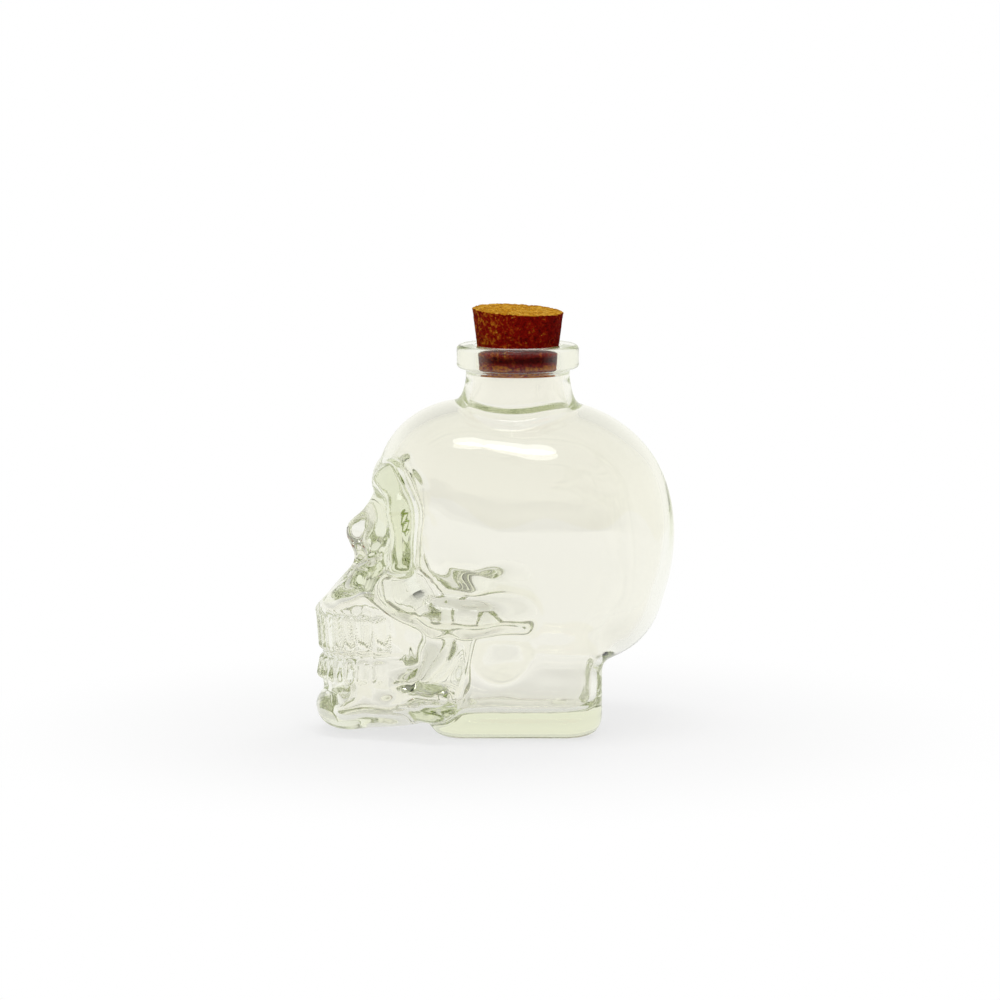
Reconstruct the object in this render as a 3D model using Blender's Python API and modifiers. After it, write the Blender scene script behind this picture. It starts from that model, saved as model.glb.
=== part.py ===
# Skull bottle: a mould-blown clear glass flask in the shape of a human skull, closed by a tapered cork.
# Metres, +Z up. The face looks along -Y and the plane x = 0 is the skull's plane of symmetry.
# The glass is one piece: a loft of rings from the middle of the foot up round the skull, the neck and
# the lip, down the bore and round the inside. Each ring's points lie where straight lines out of the
# skull's core meet the form, and the form is a blend of the skull's bones.
import bmesh
import bpy
import math
import numpy as np

# Main sizes, and where the front of the gums stands
BOTTLE_HEIGHT = 0.0833
NECK_AND_LIP_HEIGHT = 0.0117
SKULL_LENGTH = 0.0763
SKULL_WIDTH = 0.0530
SKULL_FRONT_Y = -0.0384

# Bottle: foot, neck and lip
FOOT_LENGTH = 0.0370
FOOT_WIDTH = 0.0310
FOOT_MIDDLE_Y = 0.0045
FOOT_CORNER = 0.0080
FOOT_RISE = 0.0260
FOOT_TRIM = 0.0003
FOOT_EDGE_ROUNDING = 0.0050
FOOT_RING_WIDTH = 0.0070
PUNT_DEPTH = 0.0010
PUNT_SLOPE_WIDTH = 0.0040
FLAT_FOOT_SHARE = 0.02
NECK_MIDDLE_Y = 0.0050
NECK_RADIUS = 0.0111
NECK_FLARE = 0.0006
NECK_FILLET = 0.0024
LIP_RADIUS = 0.01305
LIP_HEIGHT = 0.0050
LIP_TOP_ROUNDING = 0.0010
LIP_UNDER_ROUNDING = 0.0009
LIP_UNDER_FILLET = 0.0008
LIP_TRIM = 0.0001
BORE_RADIUS = 0.0097
BORE_FLARE = 0.0008
BORE_FLARE_HEIGHT = 0.0040
BORE_STEP_HEIGHT = 0.0015
MOUTH_RADIUS = 0.0090
MOUTH_LENGTH = 0.0048
MOUTH_ROUNDING = 0.0006

# Glass thickness
WALL = 0.0024
FLOOR_THICKNESS = 0.0055
CHIN_FLOOR_THICKNESS = 0.0028
CHIN_FLOOR_Y = -0.0220
FLOOR_SLOPE_LENGTH = 0.0100
FLOOR_SOFTNESS = 0.0040
FACE_WALL_BACK_Y = -0.0193
FACE_WALL_LOW_Z = 0.0335
FACE_WALL_HIGH_Z = 0.0545
INNER_SOFTNESS = 0.0060
INNER_HOLLOW_TRIM = 0.0006
INNER_HOLLOW_SOFTNESS = 0.0045

# Cork: its cone passes CORK_GAP clear of the mouth's edge
CORK_GAP = 0.0003
CORK_TAPER = 0.130
CORK_ABOVE_LIP = 0.0077
CORK_BELOW_LIP = 0.0059
CORK_EDGE = 0.0004
CORK_TOP_SLOPE = math.radians(3.0)
CORK_SIDES = 64
CORK_SHARP_ANGLE = math.radians(50)

# Cranium: brow, crown and back of the head
BROW_Y = -0.0253
CROWN_Z = BOTTLE_HEIGHT - NECK_AND_LIP_HEIGHT
BACK_Y = SKULL_FRONT_Y + SKULL_LENGTH
FOREHEAD_WIDTH = 0.0440
FOREHEAD_RADIUS = 0.0218
EMINENCE_RADIUS = 0.0156
EMINENCE_Z = 0.0545
EMINENCE_SETBACK = 0.0010
EMINENCE_INSET = 0.0025
TEMPLE_WIDTH = 0.0350
TEMPLE_LENGTH = 0.0240
TEMPLE_HEIGHT = 0.0360
TEMPLE_Y = -0.0080
TEMPLE_Z = 0.0440
CROWN_LENGTH = 0.0560
CROWN_DEPTH = 0.0500
OCCIPUT_LENGTH = 0.0420
OCCIPUT_DEPTH = 0.0445
OCCIPUT_WIDTH = 0.0420
OCCIPUT_UNDERSIDE_Z = 0.0158
SKULL_BASE_WIDTH = 0.0375
SKULL_BASE_LENGTH = 0.0440
SKULL_BASE_HEIGHT = 0.0210
SKULL_BASE_CORNER = 0.0095
SKULL_BASE_Y = 0.0020
SKULL_BASE_Z = 0.0260
NAPE_WIDTH = 0.0330
NAPE_LENGTH = 0.0280
NAPE_HEIGHT = 0.0244
NAPE_Y = 0.0205
NAPE_Z = 0.0280

# How softly one bone runs into the next
BONE_SOFTNESS = 0.0040
BASE_SOFTNESS = 0.0060
BAR_SOFTNESS = 0.0030
FINE_SOFTNESS = 0.0020
HOLLOW_SOFTNESS = 0.0022

# Eye sockets
SOCKET_WIDTH = 0.0142
SOCKET_HEIGHT = 0.0150
SOCKET_DEPTH = 0.0043
SOCKET_STANDOFF = 0.0030
SOCKET_MIDDLE_X = 0.0111
SOCKET_MIDDLE_Z = 0.0462
SOCKET_RIM = 0.0022
SOCKET_FLARE = 1.16
SOCKET_TURN = math.radians(14)
RIM_RISE = 0.0010
RIM_SOFTNESS = 0.0040
INNER_RIM_X = 0.0045
BROW_BEND_X = 0.0112
BROW_BEND_Y = -0.0226
OUTER_RIM_X = 0.0160
OUTER_RIM_DROP = 0.0045
OUTER_RIM_TOP_Y = -0.0206
OUTER_RIM_LOW_Y = -0.0195

# Nose
NASION_Z = 0.0500
NOSE_TIP_Y = -0.0312
NOSE_TIP_Z = 0.0430
NOSE_BRIDGE_RADIUS = 0.0030
NOSE_HOLLOW_WIDTH = 0.0048
NOSE_HOLLOW_HEIGHT = 0.0085
NOSE_HOLLOW_DEPTH = 0.0050
NOSE_HOLLOW_X = 0.0034
NOSE_HOLLOW_Z = 0.0377
NOSE_HOLLOW_STANDOFF = 0.0010
NOSE_ROOT_SET = 0.0005
NOSE_ROOT_TRIM = 0.0004
NOSE_BASE_RADIUS = 0.0045
NOSE_BASE_DROP = 0.0070
NOSE_BASE_SETBACK = 0.0040

# Cheekbones and the arches behind them
FACE_Y = -0.0292
FACE_WIDTH = 0.0300
FACE_DEPTH = 0.0125
FACE_HEIGHT = 0.0280
FACE_Z = 0.0370
CHEEK_X = 0.0160
CHEEK_Z = 0.0315
CHEEK_RADIUS = 0.0036
CHEEK_RISE = 0.0030
CHEEK_INNER_X = 0.0090
CHEEK_INNER_RADIUS = 0.0026
CHEEK_INNER_SETBACK = 0.0035
CHEEK_INNER_RISE = 0.0035
CHEEK_HOLLOW_TOP = (0.0185, -0.0215, 0.0225)
CHEEK_HOLLOW_LOW = (0.0160, -0.0240, 0.0130)
CHEEK_HOLLOW_TOP_RADIUS = 0.0036
CHEEK_HOLLOW_LOW_RADIUS = 0.0030
ARCH_X = 0.0212
ARCH_Z = 0.0270
ARCH_RADIUS = 0.0022
ARCH_FRONT_INSET = 0.0012
ARCH_FRONT_Y = -0.0125
ARCH_FRONT_RISE = 0.0004
ARCH_MIDDLE_Y = -0.0040
ARCH_END_INSET = 0.0022
ARCH_END_Y = 0.0050
ARCH_END_RISE = 0.0008
MASTOID_MIDDLE = (0.0145, 0.0015, 0.0195)
MASTOID_RADII = (0.0042, 0.0052, 0.0062)
MASTOID_SOFTNESS = 0.0035

# Jaws and teeth
DENTAL_ARCH_FRONT_Y = -0.0372
DENTAL_ARCH_MIDDLE_Y = -0.0205
DENTAL_ARCH_WIDTH = 0.0236
GUM_TOP_Z = 0.0300
GUM_SLOPE_SET = 0.0018
GUM_RIDGE_Z = 0.0262
GUM_RIDGE_HEIGHT = 0.0090
GUM_RIDGE_INSET = 0.0010
GUM_SOFTNESS = 0.0015
JAW_LOW_Z = 0.0035
THROAT_MIDDLE = (0, -0.0060, 0.0130)
THROAT_RADII = (0.0158, 0.0130, 0.0125)
BITE_Z = 0.0173
UPPER_TOOTH_HEIGHT = 0.0085
LOWER_TOOTH_HEIGHT = 0.0045
TOOTH_WIDTHS = (0.0030, 0.0025, 0.0028, 0.0025, 0.0025, 0.0036, 0.0034)
TOOTH_PROUD = 0.0008
TOOTH_FULLNESS = 0.56
TOOTH_WAIST = 0.55
TOOTH_EDGE_ROUNDING = 0.8
UPPER_TOOTH_WAIST_SHARE = 0.92
UPPER_TOOTH_NECK_SHARES = (0.86, 0.66)
LOWER_TOOTH_SHARES = (0.92, 0.72)
TOOTH_SOFTNESS = 0.0005
BITE_HALF_GAP = 0.0003
BITE_RADIUS = 0.0009
BITE_OFFSET = 0.0004
BITE_SOFTNESS = 0.0008
MOUTH_BACK_MARGIN = 0.0060
BITE_BACK_MARGIN = 0.0010
CHIN_Y = -0.0376
CHIN_CLEARANCE = 0.0003
CHIN_HALF_WIDTH = 0.0050
CHIN_RADIUS = 0.0056
JAW_ANGLE_X = 0.0155
JAW_ANGLE_Y = -0.0125
JAW_ANGLE_Z = 0.0092
JAW_RADIUS = 0.0044
CHIN_CORNER_SETBACK = 0.0010
CHIN_SOFTNESS = 0.0010
CHIN_GROOVE_MIDDLE = (0, -0.0384, 0.0095)
CHIN_GROOVE_END = (0.0100, -0.0345, 0.0105)
CHIN_GROOVE_RADIUS = 0.0020
CHIN_GROOVE_END_RADIUS = 0.0018
RAMUS_TOP_X = 0.0185
RAMUS_TOP_Y = -0.0085
RAMUS_TOP_RADIUS = 0.0034

# Where the lines that find the surface start: a low middle for the jaws, a high one for the cranium
LOW_MIDDLE_Y = -0.0050
LOW_MIDDLE_Z = 0.0090
DRIFT_LOW_Z = 0.0140
DRIFT_HIGH_Z = 0.0340
HIGH_MIDDLE_X = 0.0105
HIGH_MIDDLE_Y = 0.0140
HIGH_MIDDLE_Z = 0.0450
REACH = 0.0800
LOW_RING_SPREAD = 1.4
HIGH_RING_SPREAD = 1.3
CORE_SPREAD = 1.5
FACE_CROWDING = 0.55

# How fine the glass is: rings below, round and above the head's middle, and points on each ring
OUTER_ROWS = (30, 76, 44)
INNER_ROWS = (10, 26, 14)
COLUMNS = 168
HALVINGS = 24
EVENING_ROUNDS = 16
MOST_FACES = 10800
TRIM_HEIGHT = 0.0100

# Colours
GLASS_COLOR = (0.93, 0.94, 0.90)
GLASS_ROUGHNESS = 0.02
CORK_COLOR = (0.33, 0.09, 0.03)
CORK_ROUGHNESS = 0.85
GLASS_IOR = 1.5


def length(vectors):
    return np.sqrt((vectors * vectors).sum(axis=-1))


def ellipsoid(points, middle, radii):
    away = points - np.array(middle)
    radii = np.array(radii)
    share = length(away / radii)
    slope = np.maximum(length(away / radii**2), 1e-9)
    return share * (share - 1) / slope


def tapered_bar(points, start, end, start_radius, end_radius):
    start = np.array(start)
    along = np.array(end) - start
    share = np.clip((points - start) @ along / (along @ along), 0, 1)
    nearest = start + share[:, None] * along
    return length(points - nearest) - (start_radius + (end_radius - start_radius) * share)


def rounded_block(points, middle, half, corner):
    beyond = np.abs(points - np.array(middle)) - (np.array(half) - corner)
    outside = length(np.maximum(beyond, 0))
    return outside + np.minimum(beyond.max(axis=1), 0) - corner


def blend(first, second, softness):
    share = np.clip(0.5 + 0.5 * (second - first) / softness, 0, 1)
    return second + (first - second) * share - softness * share * (1 - share)


def carve(body, hollow, softness):
    return -blend(-body, hollow, softness)


def mirrored(points):
    return np.stack([np.abs(points[:, 0]), points[:, 1], points[:, 2]], axis=1)


def cranium(points):
    forehead_z = CROWN_Z - FOREHEAD_RADIUS
    forehead = ellipsoid(
        points,
        (0, BROW_Y + FOREHEAD_RADIUS, forehead_z),
        (FOREHEAD_WIDTH / 2, FOREHEAD_RADIUS, FOREHEAD_RADIUS),
    )
    crown = ellipsoid(
        points,
        (0, BACK_Y - CROWN_LENGTH / 2, CROWN_Z - CROWN_DEPTH / 2),
        (SKULL_WIDTH / 2, CROWN_LENGTH / 2, CROWN_DEPTH / 2),
    )
    occiput = ellipsoid(
        points,
        (0, BACK_Y - OCCIPUT_LENGTH / 2, OCCIPUT_UNDERSIDE_Z + OCCIPUT_DEPTH / 2),
        (OCCIPUT_WIDTH / 2, OCCIPUT_LENGTH / 2, OCCIPUT_DEPTH / 2),
    )
    nape = ellipsoid(points, (0, NAPE_Y, NAPE_Z), (NAPE_WIDTH / 2, NAPE_LENGTH / 2, NAPE_HEIGHT / 2))
    skull_base = rounded_block(
        points,
        (0, SKULL_BASE_Y, SKULL_BASE_Z),
        (SKULL_BASE_WIDTH / 2, SKULL_BASE_LENGTH / 2, SKULL_BASE_HEIGHT / 2),
        SKULL_BASE_CORNER,
    )
    eminence = ellipsoid(
        points,
        (0, BROW_Y + EMINENCE_SETBACK + EMINENCE_RADIUS, EMINENCE_Z),
        (FOREHEAD_WIDTH / 2 - EMINENCE_INSET, EMINENCE_RADIUS, EMINENCE_RADIUS),
    )
    temples = ellipsoid(
        points, (0, TEMPLE_Y, TEMPLE_Z), (TEMPLE_WIDTH / 2, TEMPLE_LENGTH / 2, TEMPLE_HEIGHT / 2)
    )
    form = blend(crown, forehead, BONE_SOFTNESS)
    form = blend(form, eminence, BAR_SOFTNESS)
    form = blend(form, temples, BONE_SOFTNESS)
    form = blend(form, occiput, BONE_SOFTNESS)
    form = blend(form, nape, BAR_SOFTNESS)
    return blend(form, skull_base, BASE_SOFTNESS)


def off_dental_arch(points):
    # How far outside the upright column that stands on the dental arch
    return ellipsoid(
        points * np.array([1, 1, 0]),
        (0, DENTAL_ARCH_MIDDLE_Y, 0),
        (DENTAL_ARCH_WIDTH / 2, DENTAL_ARCH_MIDDLE_Y - DENTAL_ARCH_FRONT_Y, 1),
    )


def face_and_jaws(points):
    midface = ellipsoid(
        points, (0, FACE_Y + FACE_DEPTH, FACE_Z), (FACE_WIDTH / 2, FACE_DEPTH, FACE_HEIGHT / 2)
    )
    jaw_column = off_dental_arch(points)
    slope = DENTAL_ARCH_FRONT_Y - points[:, 1] + points[:, 2] - GUM_TOP_Z + GUM_SLOPE_SET
    jaw_column = carve(jaw_column, -slope / math.sqrt(2), FINE_SOFTNESS)
    ridge_middle_y = DENTAL_ARCH_MIDDLE_Y - GUM_RIDGE_INSET
    gum_ridge = ellipsoid(
        points,
        (0, ridge_middle_y, GUM_RIDGE_Z),
        (DENTAL_ARCH_WIDTH / 2 - GUM_RIDGE_INSET, ridge_middle_y - SKULL_FRONT_Y, GUM_RIDGE_HEIGHT / 2),
    )
    jaw_column = blend(jaw_column, gum_ridge, GUM_SOFTNESS)
    jaw_column = carve(jaw_column, points[:, 2] - JAW_LOW_Z, BONE_SOFTNESS)
    throat = ellipsoid(points, THROAT_MIDDLE, THROAT_RADII)
    return blend(blend(midface, jaw_column, BONE_SOFTNESS), throat, BONE_SOFTNESS)


def lower_jaw(form, sides):
    # sides holds the points with x made positive, so a bone written once stands on both sides
    chin_z = CHIN_RADIUS + CHIN_CLEARANCE
    middle = (0, CHIN_Y + CHIN_RADIUS, chin_z)
    corner = (CHIN_HALF_WIDTH, CHIN_Y + CHIN_RADIUS + CHIN_CORNER_SETBACK, chin_z)
    angle = (JAW_ANGLE_X, JAW_ANGLE_Y, JAW_ANGLE_Z)
    form = blend(form, tapered_bar(sides, corner, angle, CHIN_RADIUS, JAW_RADIUS), BONE_SOFTNESS)
    return blend(form, tapered_bar(sides, middle, corner, CHIN_RADIUS, CHIN_RADIUS), CHIN_SOFTNESS)


def rims_and_cheeks(form, sides):
    socket_top_z = SOCKET_MIDDLE_Z + SOCKET_HEIGHT / 2
    ramus_low = (JAW_ANGLE_X, JAW_ANGLE_Y, JAW_ANGLE_Z)
    ramus_top = (RAMUS_TOP_X, RAMUS_TOP_Y, ARCH_Z)
    brow_inner = (INNER_RIM_X, BROW_Y + SOCKET_RIM, socket_top_z + RIM_RISE)
    brow_bend = (BROW_BEND_X, BROW_BEND_Y, socket_top_z + RIM_RISE)
    outer_top = (OUTER_RIM_X, OUTER_RIM_TOP_Y, socket_top_z - OUTER_RIM_DROP)
    outer_low = (OUTER_RIM_X, OUTER_RIM_LOW_Y, CHEEK_Z + CHEEK_RISE)
    cheek = (CHEEK_X, OUTER_RIM_LOW_Y, CHEEK_Z)
    cheek_inner = (CHEEK_INNER_X, FACE_Y + CHEEK_INNER_SETBACK, CHEEK_Z + CHEEK_INNER_RISE)
    arch_front = (ARCH_X - ARCH_FRONT_INSET, ARCH_FRONT_Y, ARCH_Z + ARCH_FRONT_RISE)
    arch_middle = (ARCH_X, ARCH_MIDDLE_Y, ARCH_Z)
    arch_end = (ARCH_X - ARCH_END_INSET, ARCH_END_Y, ARCH_Z + ARCH_END_RISE)
    bars = (
        (ramus_low, ramus_top, JAW_RADIUS, RAMUS_TOP_RADIUS, BAR_SOFTNESS),
        (brow_inner, brow_bend, SOCKET_RIM, SOCKET_RIM, RIM_SOFTNESS),
        (brow_bend, outer_top, SOCKET_RIM, SOCKET_RIM, RIM_SOFTNESS),
        (outer_top, outer_low, SOCKET_RIM, SOCKET_RIM, RIM_SOFTNESS),
        (cheek, cheek_inner, CHEEK_RADIUS, CHEEK_INNER_RADIUS, BAR_SOFTNESS),
        (cheek, arch_front, CHEEK_RADIUS, ARCH_RADIUS, BONE_SOFTNESS),
        (arch_front, arch_middle, ARCH_RADIUS, ARCH_RADIUS, BAR_SOFTNESS),
        (arch_middle, arch_end, ARCH_RADIUS, ARCH_RADIUS, BONE_SOFTNESS),
    )
    for low, high, low_radius, high_radius, softness in bars:
        form = blend(form, tapered_bar(sides, low, high, low_radius, high_radius), softness)
    return blend(form, ellipsoid(sides, MASTOID_MIDDLE, MASTOID_RADII), MASTOID_SOFTNESS)


def nose(form, sides):
    root = (0, BROW_Y + NOSE_BRIDGE_RADIUS - NOSE_ROOT_SET, NASION_Z)
    tip = (0, NOSE_TIP_Y + NOSE_BRIDGE_RADIUS, NOSE_TIP_Z)
    base = (0, FACE_Y + NOSE_BASE_SETBACK, NOSE_TIP_Z - NOSE_BASE_DROP)
    bridge = tapered_bar(sides, root, tip, NOSE_BRIDGE_RADIUS - NOSE_ROOT_TRIM, NOSE_BRIDGE_RADIUS)
    form = blend(form, bridge, FINE_SOFTNESS)
    return blend(form, tapered_bar(sides, tip, base, NOSE_BRIDGE_RADIUS, NOSE_BASE_RADIUS), FINE_SOFTNESS)


def hollows(form, sides, grow, softness):
    # grow widens each hollow, for the inside of the glass, and softness rounds its edges
    # The middle of each socket's ellipsoid stands before the brow, so that its walls close inwards
    away = sides - np.array([SOCKET_MIDDLE_X, BROW_Y - SOCKET_STANDOFF, SOCKET_MIDDLE_Z])
    turned = np.stack(
        [
            away[:, 0] * math.cos(SOCKET_TURN) + away[:, 1] * math.sin(SOCKET_TURN),
            away[:, 1] * math.cos(SOCKET_TURN) - away[:, 0] * math.sin(SOCKET_TURN),
            away[:, 2],
        ],
        axis=1,
    )
    socket = ellipsoid(
        turned,
        (0, 0, 0),
        (
            SOCKET_WIDTH / 2 * SOCKET_FLARE + grow,
            SOCKET_DEPTH + SOCKET_STANDOFF + grow,
            SOCKET_HEIGHT / 2 * SOCKET_FLARE + grow,
        ),
    )
    form = carve(form, socket, softness)
    nostril = ellipsoid(
        sides,
        (NOSE_HOLLOW_X, FACE_Y - NOSE_HOLLOW_STANDOFF, NOSE_HOLLOW_Z),
        (NOSE_HOLLOW_WIDTH / 2 + grow, NOSE_HOLLOW_DEPTH + grow, NOSE_HOLLOW_HEIGHT / 2 + grow),
    )
    form = carve(form, nostril, softness / 2)
    cheek_hollow = tapered_bar(
        sides,
        CHEEK_HOLLOW_TOP,
        CHEEK_HOLLOW_LOW,
        CHEEK_HOLLOW_TOP_RADIUS + grow,
        CHEEK_HOLLOW_LOW_RADIUS + grow,
    )
    form = carve(form, cheek_hollow, softness)
    chin_groove = tapered_bar(
        sides, CHIN_GROOVE_MIDDLE, CHIN_GROOVE_END, CHIN_GROOVE_RADIUS, CHIN_GROOVE_END_RADIUS
    )
    return carve(form, chin_groove, softness)


def tooth_places():
    # The middle of each tooth on one side, walked along the dental arch from the midline
    back = DENTAL_ARCH_MIDDLE_Y - DENTAL_ARCH_FRONT_Y
    angles = np.linspace(0, math.pi / 2, 400)
    arch = np.stack(
        [DENTAL_ARCH_WIDTH / 2 * np.sin(angles), DENTAL_ARCH_MIDDLE_Y - back * np.cos(angles)], axis=1
    )
    steps = length(np.diff(arch, axis=0))
    walked = np.concatenate([[0], np.cumsum(steps)])
    places = []
    edge = 0
    for width in TOOTH_WIDTHS:
        middle = edge + width / 2
        x = np.interp(middle, walked, arch[:, 0])
        y = np.interp(middle, walked, arch[:, 1])
        normal = np.array([x / (DENTAL_ARCH_WIDTH / 2) ** 2, (y - DENTAL_ARCH_MIDDLE_Y) / back**2])
        places.append((x, y, normal / np.linalg.norm(normal), width))
        edge += width
    return places


def teeth(form, sides):
    for x, y, normal, width in tooth_places():
        radius = width * TOOTH_FULLNESS
        inset = radius - TOOTH_PROUD
        middle_x = x - normal[0] * inset
        middle_y = y - normal[1] * inset
        edge = BITE_HALF_GAP + radius * TOOTH_EDGE_ROUNDING
        waist_z = BITE_Z + UPPER_TOOTH_HEIGHT * TOOTH_WAIST
        crowns = (
            (BITE_Z + edge, waist_z, (1, UPPER_TOOTH_WAIST_SHARE)),
            (waist_z, BITE_Z + UPPER_TOOTH_HEIGHT, UPPER_TOOTH_NECK_SHARES),
            (BITE_Z - edge, BITE_Z - LOWER_TOOTH_HEIGHT, LOWER_TOOTH_SHARES),
        )
        for near_z, far_z, shares in crowns:
            near = (middle_x, middle_y, near_z)
            far = (middle_x, middle_y, far_z)
            crown = tapered_bar(sides, near, far, radius * shares[0], radius * shares[1])
            form = blend(form, crown, TOOTH_SOFTNESS)
    return form


def bite_line(form, points):
    # The gap between the rows of teeth, a groove round the front of the jaws
    in_front = points[:, 1] - (DENTAL_ARCH_MIDDLE_Y + BITE_BACK_MARGIN)
    off_line = np.hypot(off_dental_arch(points) - BITE_OFFSET, points[:, 2] - BITE_Z)
    return carve(form, np.maximum(off_line - BITE_RADIUS, in_front), BITE_SOFTNESS)


def foot_block(points):
    return rounded_block(
        points,
        (0, FOOT_MIDDLE_Y, 0),
        (FOOT_WIDTH / 2, FOOT_LENGTH / 2, FOOT_RISE),
        FOOT_CORNER,
    )


def outside(points):
    sides = mirrored(points)
    form = blend(cranium(points), face_and_jaws(points), BONE_SOFTNESS)
    form = lower_jaw(form, sides)
    form = rims_and_cheeks(form, sides)
    form = nose(form, sides)
    form = hollows(form, sides, 0, HOLLOW_SOFTNESS)
    mouth = (points[:, 1] < DENTAL_ARCH_MIDDLE_Y + MOUTH_BACK_MARGIN) & (points[:, 2] < GUM_TOP_Z)
    form[mouth] = bite_line(teeth(form[mouth], sides[mouth]), points[mouth])
    form = blend(form, foot_block(points), FINE_SOFTNESS)
    return carve(form, points[:, 2] + FOOT_TRIM, FOOT_EDGE_ROUNDING)


def inside(points):
    # The inside is softer than the mould's side: rims, nose, arches and teeth are left out of it, so
    # they are thick glass, and the face has a thick upright wall at the sockets
    sides = mirrored(points)
    form = blend(cranium(points), face_and_jaws(points), INNER_SOFTNESS)
    form = lower_jaw(form, sides)
    form = hollows(form, sides, -INNER_HOLLOW_TRIM, INNER_HOLLOW_SOFTNESS)
    form = blend(form, foot_block(points), INNER_SOFTNESS)
    form = form + WALL
    half_height = (FACE_WALL_HIGH_Z - FACE_WALL_LOW_Z) / 2
    face_wall = rounded_block(
        points,
        (0, FACE_WALL_BACK_Y - half_height, FACE_WALL_LOW_Z + half_height),
        (SKULL_WIDTH, half_height, half_height),
        BAR_SOFTNESS,
    )
    form = carve(form, face_wall, BAR_SOFTNESS)
    share = np.clip((points[:, 1] - CHIN_FLOOR_Y) / FLOOR_SLOPE_LENGTH, 0, 1)
    share = share * share * (3 - 2 * share)
    floor_z = CHIN_FLOOR_THICKNESS + (FLOOR_THICKNESS - CHIN_FLOOR_THICKNESS) * share
    return carve(form, points[:, 2] - floor_z, FLOOR_SOFTNESS)


def spine(rows):
    # For each ring: half the width and half the length of the core that its lines leave, the core's y
    # and z, and the lines' climb angle. The core is wide at the sockets, so lines run nearly along them
    low, middle, high = rows
    rings = []
    for step in range(1, low + 1):
        climb = -math.pi / 2 * (1 - step / low) ** LOW_RING_SPREAD
        rings.append((0, 0, LOW_MIDDLE_Y, LOW_MIDDLE_Z, climb))
    for step in range(1, middle + 1):
        rise = LOW_MIDDLE_Z + (HIGH_MIDDLE_Z - LOW_MIDDLE_Z) * step / middle
        share = min(1, max(0, (rise - DRIFT_LOW_Z) / (DRIFT_HIGH_Z - DRIFT_LOW_Z)))
        share = share * share * (3 - 2 * share)
        y = LOW_MIDDLE_Y + (HIGH_MIDDLE_Y - LOW_MIDDLE_Y) * share
        rings.append((HIGH_MIDDLE_X * share, 0, y, rise, 0))
    shoulder = NECK_RADIUS + NECK_FILLET
    for step in range(1, high + 1):
        share = (step / high) ** HIGH_RING_SPREAD
        half_width = HIGH_MIDDLE_X + (shoulder - HIGH_MIDDLE_X) * share**CORE_SPREAD
        half_length = shoulder * share**CORE_SPREAD
        y = HIGH_MIDDLE_Y + (NECK_MIDDLE_Y - HIGH_MIDDLE_Y) * share
        rings.append((half_width, half_length, y, HIGH_MIDDLE_Z, math.pi / 2 * share))
    return rings


def column_angles(columns, evenness):
    # Angles round the axis from the face. The front, which holds the face, has more of them
    share = np.arange(columns) / columns
    even = 2 * math.pi * share
    crowded = even - FACE_CROWDING * np.sin(even)
    return crowded + (even - crowded) * evenness


def back_on(form, points):
    # One step straight to the surface, along the form's slope
    step = 0.00001
    value = form(points)
    slope = np.stack([form(points + step * axis) - value for axis in np.eye(3)], axis=1) / step
    steepness = np.maximum((slope * slope).sum(axis=1), 0.25)
    return points - slope * (value / steepness)[:, None]


def evened(form, grid, rounds):
    # Points drift to the middle of their neighbours, so that walls along the lines get their share
    for _ in range(rounds):
        middle = np.roll(grid, 1, axis=1) + np.roll(grid, -1, axis=1)
        middle = (middle[1:-1] + grid[:-2] + grid[2:]) / 4
        drifted = (grid[1:-1] + middle) / 2
        grid[1:-1] = back_on(form, drifted.reshape(-1, 3)).reshape(drifted.shape)
    return grid


def skull_rings(form, rows, columns, rounds):
    # Every ring's points are found together, by halving each line's stretch that holds the surface
    starts, lines = [], []
    rings = spine(rows)
    first_high = len(rings) - rows[2]
    for index, (half_width, half_length, core_y, core_z, climb) in enumerate(rings):
        evenness = max(0, (index + 1 - first_high) / rows[2])
        angles = column_angles(columns, evenness)
        out = np.stack([np.sin(angles), -np.cos(angles), np.zeros(columns)], axis=1)
        starts.append(out * np.array([half_width, half_length, 0]) + np.array([0, core_y, core_z]))
        lines.append(out * math.cos(climb) + np.array([0, 0, math.sin(climb)]))
    starts = np.concatenate(starts)
    lines = np.concatenate(lines)
    near = np.zeros(len(starts))
    far = np.full(len(starts), REACH)
    for _ in range(HALVINGS):
        half = (near + far) / 2
        within = form(starts + lines * half[:, None]) < 0
        near = np.where(within, half, near)
        far = np.where(within, far, half)
    points = starts + lines * ((near + far) / 2)[:, None]
    return list(evened(form, points.reshape(len(rings), columns, 3), rounds))


def round_ring(radius, z, columns):
    angles = column_angles(columns, 1)
    return np.stack(
        [radius * np.sin(angles), NECK_MIDDLE_Y - radius * np.cos(angles), np.full(columns, z)], axis=1
    )


def fillet_rings(before, shoulder, radius, top_z, count, columns):
    # From the shoulder ring, which waves with the skull, up to a round ring at top_z. The curve leaves
    # along the skull's own slope, as the ring before the shoulder gives it, and ends upright
    angles = column_angles(columns, 1)
    out = np.stack([np.sin(angles), -np.cos(angles)], axis=1)
    middle = np.array([0, NECK_MIDDLE_Y])
    start_radius = length(shoulder[:, :2] - middle)
    climb = (shoulder[:, 2] - before[:, 2]) / (length(before[:, :2] - middle) - start_radius)
    bend_z = shoulder[:, 2] + climb * (start_radius - radius)
    rings = []
    for step in range(1, count + 1):
        share = step / count
        first, bend, last = (1 - share) ** 2, 2 * share * (1 - share), share**2
        ring_radius = first * start_radius + (bend + last) * radius
        z = first * shoulder[:, 2] + bend * bend_z + last * top_z
        rings.append(np.column_stack([out * ring_radius[:, None] + middle, z]))
    return rings


def arc(middle_radius, middle_z, radius, start, end, count):
    turns = np.radians(np.linspace(start, end, count))
    return [(middle_radius + radius * math.cos(t), middle_z + radius * math.sin(t)) for t in turns]


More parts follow.
